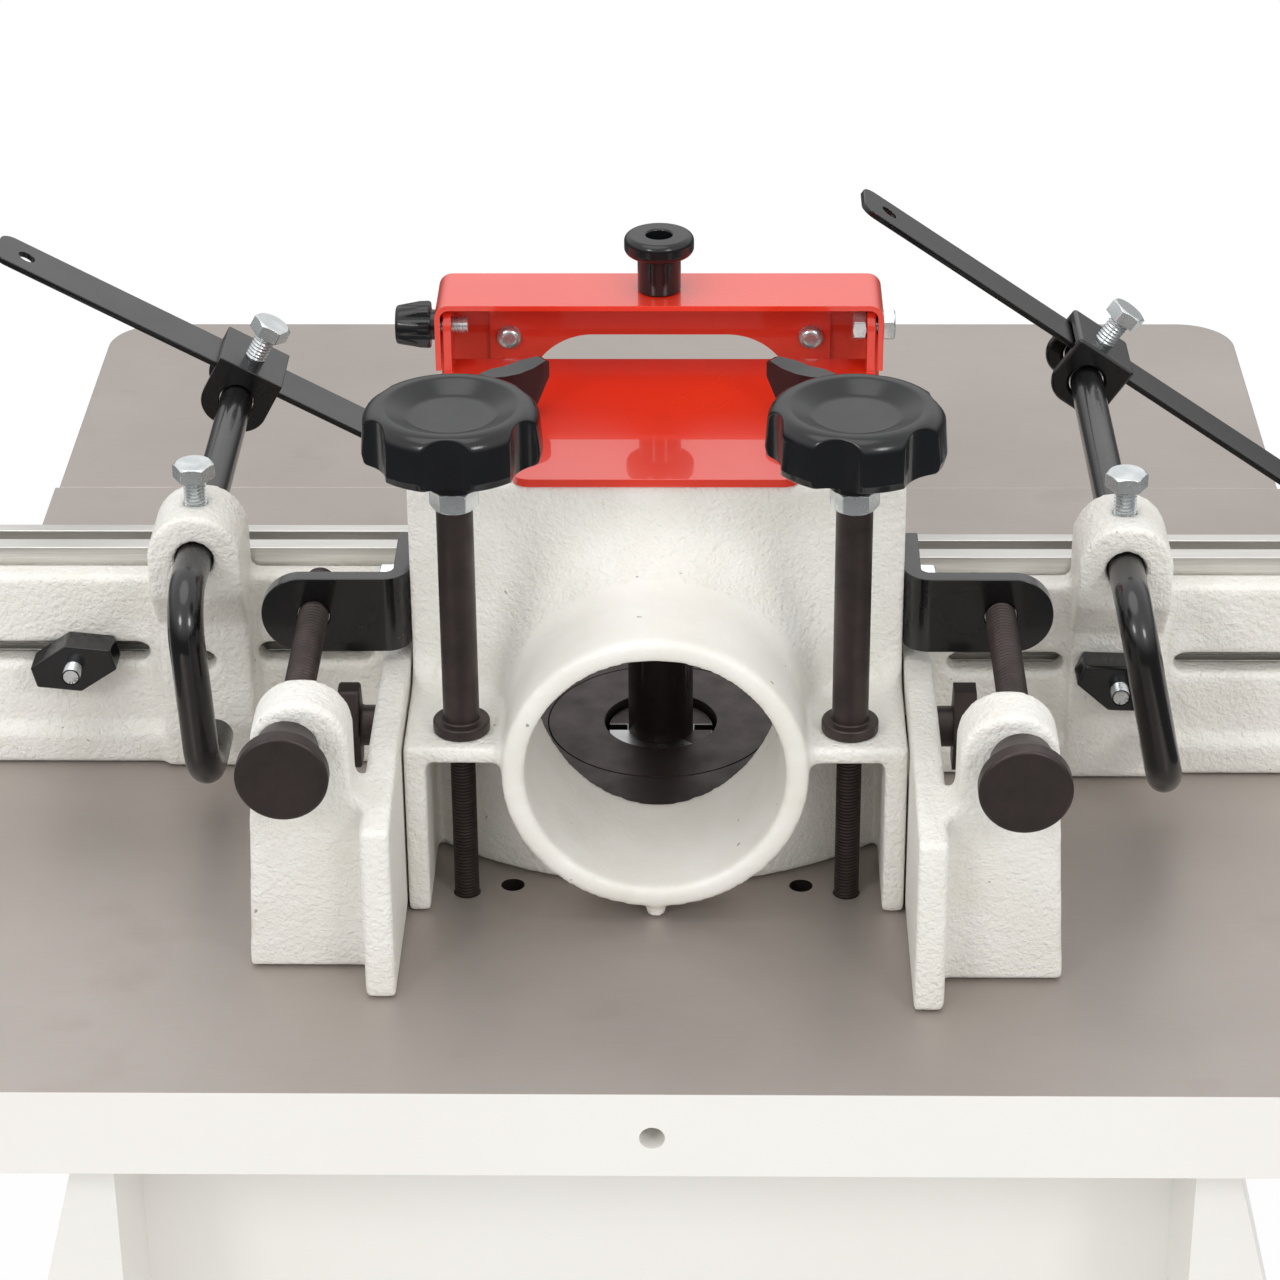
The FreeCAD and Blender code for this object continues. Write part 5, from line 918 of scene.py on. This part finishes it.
# %% Straps
BOLT_STAND, BOLT_SUNK, BOLT_ACROSS = 10.6, 2, 13.0
CAP_SLACK, STRAP_EDGE = 0.05, 1.5
ROD_LEVEL = 955 * MM
tilts = {"infeed": 28.6, "outfeed": 34.7}
for name in sides:
    node = f"hold_down_clamp_{name}"
    low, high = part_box(node)
    tilt = math.radians(tilts[name])
    lean = Vector((-math.sin(tilt), 0, math.cos(tilt)))
    across = Vector((math.cos(tilt), 0, math.sin(tilt)))
    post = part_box(f"post_bolt_{name}")
    axis = Vector(((post[0].x + post[1].x) / 2, (low.y + high.y) / 2, ROD_LEVEL))
    top = max((vert.co - axis).dot(lean) for vert in nodes[node].data.vertices) / MM
    cap = top - HEAD_HEIGHT - BOLT_STAND

    def above_cap(face):
        return max((vert.co - axis).dot(lean) for vert in face.verts) > (cap + CAP_SLACK) * MM
    foot = axis + lean * (cap - BOLT_SUNK) * MM
    head = axis + lean * (cap + BOLT_STAND) * MM
    screw = thread(BOLT_RADIUS, BOLT_PITCH, BOLT_STAND + BOLT_SUNK + OVERLAP, ZINC)
    extras = [(placed(screw, seat(foot, lean, across)), 1),
              (placed(hexagon(BOLT_ACROSS, HEAD_HEIGHT), seat(head, lean, across)), 1)]
    dressed(node, STRAP_EDGE, trim=above_cap, extras=extras, finishes=(ENAMEL, ZINC), segments=4)
    print(node, "cap", round(cap, 2), "mm above the rod")

# %% [markdown]
# ## Wing knobs of the boards
# A black wing nut clamps each fence board. Its bolt is zinc, so the end that sticks out of the wing gets a
# thread and its own finish.

# %% Wing knobs
BOARD_BOLT_RADIUS, BOLT_TAIL, WING_EDGE = 3.2, 6.0, 1.2
for name in sides:
    node = f"wing_knob_{name}"
    low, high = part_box(node)
    middle = (low + high) / 2
    rear = Vector((middle.x, high.y - BOLT_TAIL * MM, middle.z))
    root = rear - BACK * OVERLAP * MM
    screw = thread(BOARD_BOLT_RADIUS, SMALL_PITCH, BOLT_TAIL + OVERLAP, ZINC)
    tail = rod_faces(rear, BACK, BOARD_BOLT_RADIUS, WELD / MM, BOLT_TAIL + OVERLAP)
    dressed(node, WING_EDGE, trim=tail, extras=[(placed(screw, seat(root, BACK, ALONG)), 1)],
            finishes=(BLACK, ZINC), segments=3)
print("board knobs with zinc bolts")

# %% [markdown]
# ## Wing knobs of the guard
# The guard's own wing knobs taper towards their tips. The solid has straight wings, so the copy is split at
# both sides of the hub, and beyond that its points move: sideways to the wing's middle, and up to its crown.

# %% Guard knobs
TIP_WIDTH_SHARE, TIP_HEIGHT_SHARE = 0.45, 0.55
HUB_HALF, WING_HALF, GUARD_KNOB_EDGE = 6.0, 14.0, 0.9
wing_turn = math.radians(37.0)
for name, side in sides.items():
    node = f"guard_wing_knob_{name}"
    low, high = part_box(node)
    middle = (low + high) / 2
    along = Vector((math.cos(wing_turn), math.sin(wing_turn) * side, 0))
    across = UP.cross(along)

    def taper(shape):
        for end in (1, -1):
            bmesh.ops.bisect_plane(shape, geom=[*shape.verts, *shape.edges, *shape.faces], dist=WELD,
                                   plane_co=middle + along * end * HUB_HALF * MM, plane_no=along)
        for vert in shape.verts:
            out = (abs((vert.co - middle).dot(along)) / MM - HUB_HALF) / (WING_HALF - HUB_HALF)
            if out > 0:
                vert.co -= across * (vert.co - middle).dot(across) * (1 - TIP_WIDTH_SHARE) * out
                vert.co.z += (high.z - vert.co.z) * (1 - TIP_HEIGHT_SHARE) * out
    dressed(node, GUARD_KNOB_EDGE, bend=taper, segments=3)
    print(node, "tapers to", TIP_WIDTH_SHARE, "of its width")

# %% [markdown]
# ## Fluted knobs
# The two big clamp knobs are turned shapes with six flutes pressed into the rim. A turned shape is a line
# spun about an axis, with arcs at its corners. A second tree then cuts the flutes as an upright round cutter
# would: no point may lie further out than the cutter's wall. Where the knob's shoulder is narrower than that,
# nothing changes, so each flute ends in an arch. The small lock knob of the hood has seven.

# %% Fluted knobs
FLUTE_EDGE, NEAR_AXIS = 0.6, 0.1


def rounded_line(corners, steps=6):
    """A line of (radius, height) corners in millimetres; a third number rounds a corner."""
    points = [Vector(corner[:2]) for corner in corners]
    line = []
    for index, corner in enumerate(corners):
        here = points[index]
        if len(corner) < 3:
            line.append(here)
            continue
        back, ahead = (points[index - 1] - here).normalized(), (points[index + 1] - here).normalized()
        half = back.angle(ahead) / 2
        reach = corner[2] / math.tan(half)
        centre = here + (back + ahead).normalized() * (corner[2] / math.sin(half))
        start, end = here + back * reach - centre, here + ahead * reach - centre
        turn = start.angle_signed(end)
        line += [centre + Matrix.Rotation(-turn * step / steps, 2) @ start for step in range(steps + 1)]
    return line


def filled(line, step):
    """Adds points to long straight stretches, so that a tree can bend them."""
    result = [line[0]]
    for start, end in zip(line, line[1:]):
        pieces = max(1, math.ceil((end - start).length / step))
        result += [start.lerp(end, (index + 1) / pieces) for index in range(pieces)]
    return result


def turned(corners, around=216, step=0.8):
    return ring_mesh([[(r * math.cos(a) * MM, r * math.sin(a) * MM, z * MM) for a in angles_of(around)]
                      for r, z in filled(rounded_line(corners), step)])


def flute_tree():
    tree, inputs, step = new_tree("flutes", ("Count", "Cutter", "Away", "First"), takes_geometry=True)
    x, y, z = split_position(tree)
    squares = step("ADD", step("MULTIPLY", x, x), step("MULTIPLY", y, y))
    radius = step("MAXIMUM", step("SQRT", squares), NEAR_AXIS * MM)
    angle = step("SUBTRACT", step("ARCTAN2", y, x), inputs["First"])
    half_step = step("DIVIDE", math.pi, inputs["Count"])
    off = step("WRAP", angle, half_step, step("MULTIPLY", half_step, -1.0))
    sideways = step("MULTIPLY", inputs["Away"], step("SINE", off))
    room = step("SUBTRACT", step("MULTIPLY", inputs["Cutter"], inputs["Cutter"]),
                    step("MULTIPLY", sideways, sideways))
    ahead = step("MULTIPLY", inputs["Away"], step("COSINE", off))
    limit = step("SUBTRACT", ahead, step("SQRT", step("MAXIMUM", room, 0.0)))
    keep = step("DIVIDE", step("SMOOTH_MIN", radius, limit, FLUTE_EDGE * MM), radius)
    pressed = moved(tree, inputs["Geometry"], step("MULTIPLY", x, keep), step("MULTIPLY", y, keep), z)
    return end_tree(tree, pressed, inputs["Finish"])


FLUTES = flute_tree()
first_flutes = {"infeed": 90.0, "outfeed": 76.0}
BIG_FLUTES, BIG_CUTTER, BIG_AWAY = 6.0, 14.5, 40.0
DISH_DEPTH = 3.5
for name in sides:
    node = f"clamp_knob_{name}"
    low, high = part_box(node)
    foot = Vector(((low.x + high.x) / 2, (low.y + high.y) / 2, low.z))
    tall = (high.z - low.z) / MM
    dish = tall - DISH_DEPTH
    knob = turned([
        (0, 0), (8.5, 0), (8.5, 9.6), (11.5, 10.7, 2), (28.9, 10.7, 0.8), (29.5, 13.5, 2), (28.4, tall, 5.2),
        (21.8, tall, 3.5), (14.0, dish, 5), (12, dish), (0, dish)])
    fluted = run_tree(FLUTES, BLACK, {"Count": BIG_FLUTES, "Cutter": BIG_CUTTER * MM, "Away": BIG_AWAY * MM,
                                      "First": math.radians(first_flutes[name])}, knob)
    build(node, [(placed(fluted, Matrix.Translation(foot)), 0)])

SMALL_LENGTH, SMALL_FLUTES, SMALL_CUTTER, SMALL_AWAY = 14, 7.0, 2.4, 9.3
node = "hood_lock_knob"
low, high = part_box(node)
middle = (low + high) / 2
root = Vector((high.x - SMALL_LENGTH * MM, middle.y, middle.z))
small = turned([(0, 0), (5.4, 0), (5.4, 1.5), (8.6, 1.5, 1), (8.4, 5.5, 3), (6.8, SMALL_LENGTH, 1.4),
                (0, SMALL_LENGTH)], around=140, step=0.5)
fluted = run_tree(FLUTES, BLACK, {"Count": SMALL_FLUTES, "Cutter": SMALL_CUTTER * MM, "Away": SMALL_AWAY * MM,
                                  "First": 0.0}, small)
stud = thread(PIVOT_RADIUS, SMALL_PITCH, (root.x - low.x) / MM + OVERLAP, ZINC)
build(node, [(placed(fluted, seat(root, ALONG, UP)), 0),
             (placed(stud, seat(Vector((low.x, middle.y, middle.z)), ALONG, UP)), 1)], (BLACK, ZINC))
print("three fluted knobs")

# %% [markdown]
# ## Screws round the rear panel
# A sheet panel closes the back of the cabinet. Its top edge hooks in under the table, and round-headed screws
# hold the rest. A third tree lays points along a rectangle and puts a screw head, a flattened ball, on each.

# %% Panel screws
BALL_SEGMENTS, BALL_RINGS, BALL_SQUASH = 16, 8, 0.5


def screw_tree():
    tree, inputs, _ = new_tree("panel_screws", ("Width", "Height", "Head"), ("Count",))
    path = tree.nodes.new("GeometryNodeCurvePrimitiveQuadrilateral")
    wire(tree, inputs["Width"], path.inputs["Width"])
    wire(tree, inputs["Height"], path.inputs["Height"])
    spaced = tree.nodes.new("GeometryNodeResampleCurve")
    wire(tree, path.outputs["Curve"], spaced.inputs["Curve"])
    wire(tree, inputs["Count"], spaced.inputs["Count"])
    ball = tree.nodes.new("GeometryNodeMeshUVSphere")
    ball.inputs["Segments"].default_value = BALL_SEGMENTS
    ball.inputs["Rings"].default_value = BALL_RINGS
    wire(tree, inputs["Head"], ball.inputs["Radius"])
    flat = tree.nodes.new("GeometryNodeTransform")
    flat.inputs["Scale"].default_value = (1.0, 1.0, BALL_SQUASH)
    wire(tree, ball.outputs["Mesh"], flat.inputs["Geometry"])
    heads = tree.nodes.new("GeometryNodeInstanceOnPoints")
    wire(tree, spaced.outputs["Curve"], heads.inputs["Points"])
    wire(tree, flat.outputs["Geometry"], heads.inputs["Instance"])
    return end_tree(tree, heads.outputs["Instances"], inputs["Finish"])


low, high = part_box("rear_panel")
middle = (low + high) / 2
INSET, BARE_TOP, SCREW_COUNT, SCREW_HEAD = 12 * MM, 130 * MM, 16, 4 * MM
heads = run_tree(screw_tree(), ZINC, {"Width": high.x - low.x - 2 * INSET, "Count": SCREW_COUNT,
                                      "Height": high.z - low.z - 2 * INSET - BARE_TOP, "Head": SCREW_HEAD})
heads.transform(seat(Vector((middle.x, high.y, middle.z - BARE_TOP / 2)), BACK, -ALONG))
heads.materials.clear()
heads.materials.append(ZINC)
for face in heads.polygons:
    face.use_smooth = True
panel_screws = add_object("panel_screws", heads)
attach(panel_screws, body_of["rear_panel"])
print(SCREW_COUNT, "screws hold the rear panel")

# %% Finish
low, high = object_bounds()
print("visual box", [round(value, 4) for value in (*low, *high)])
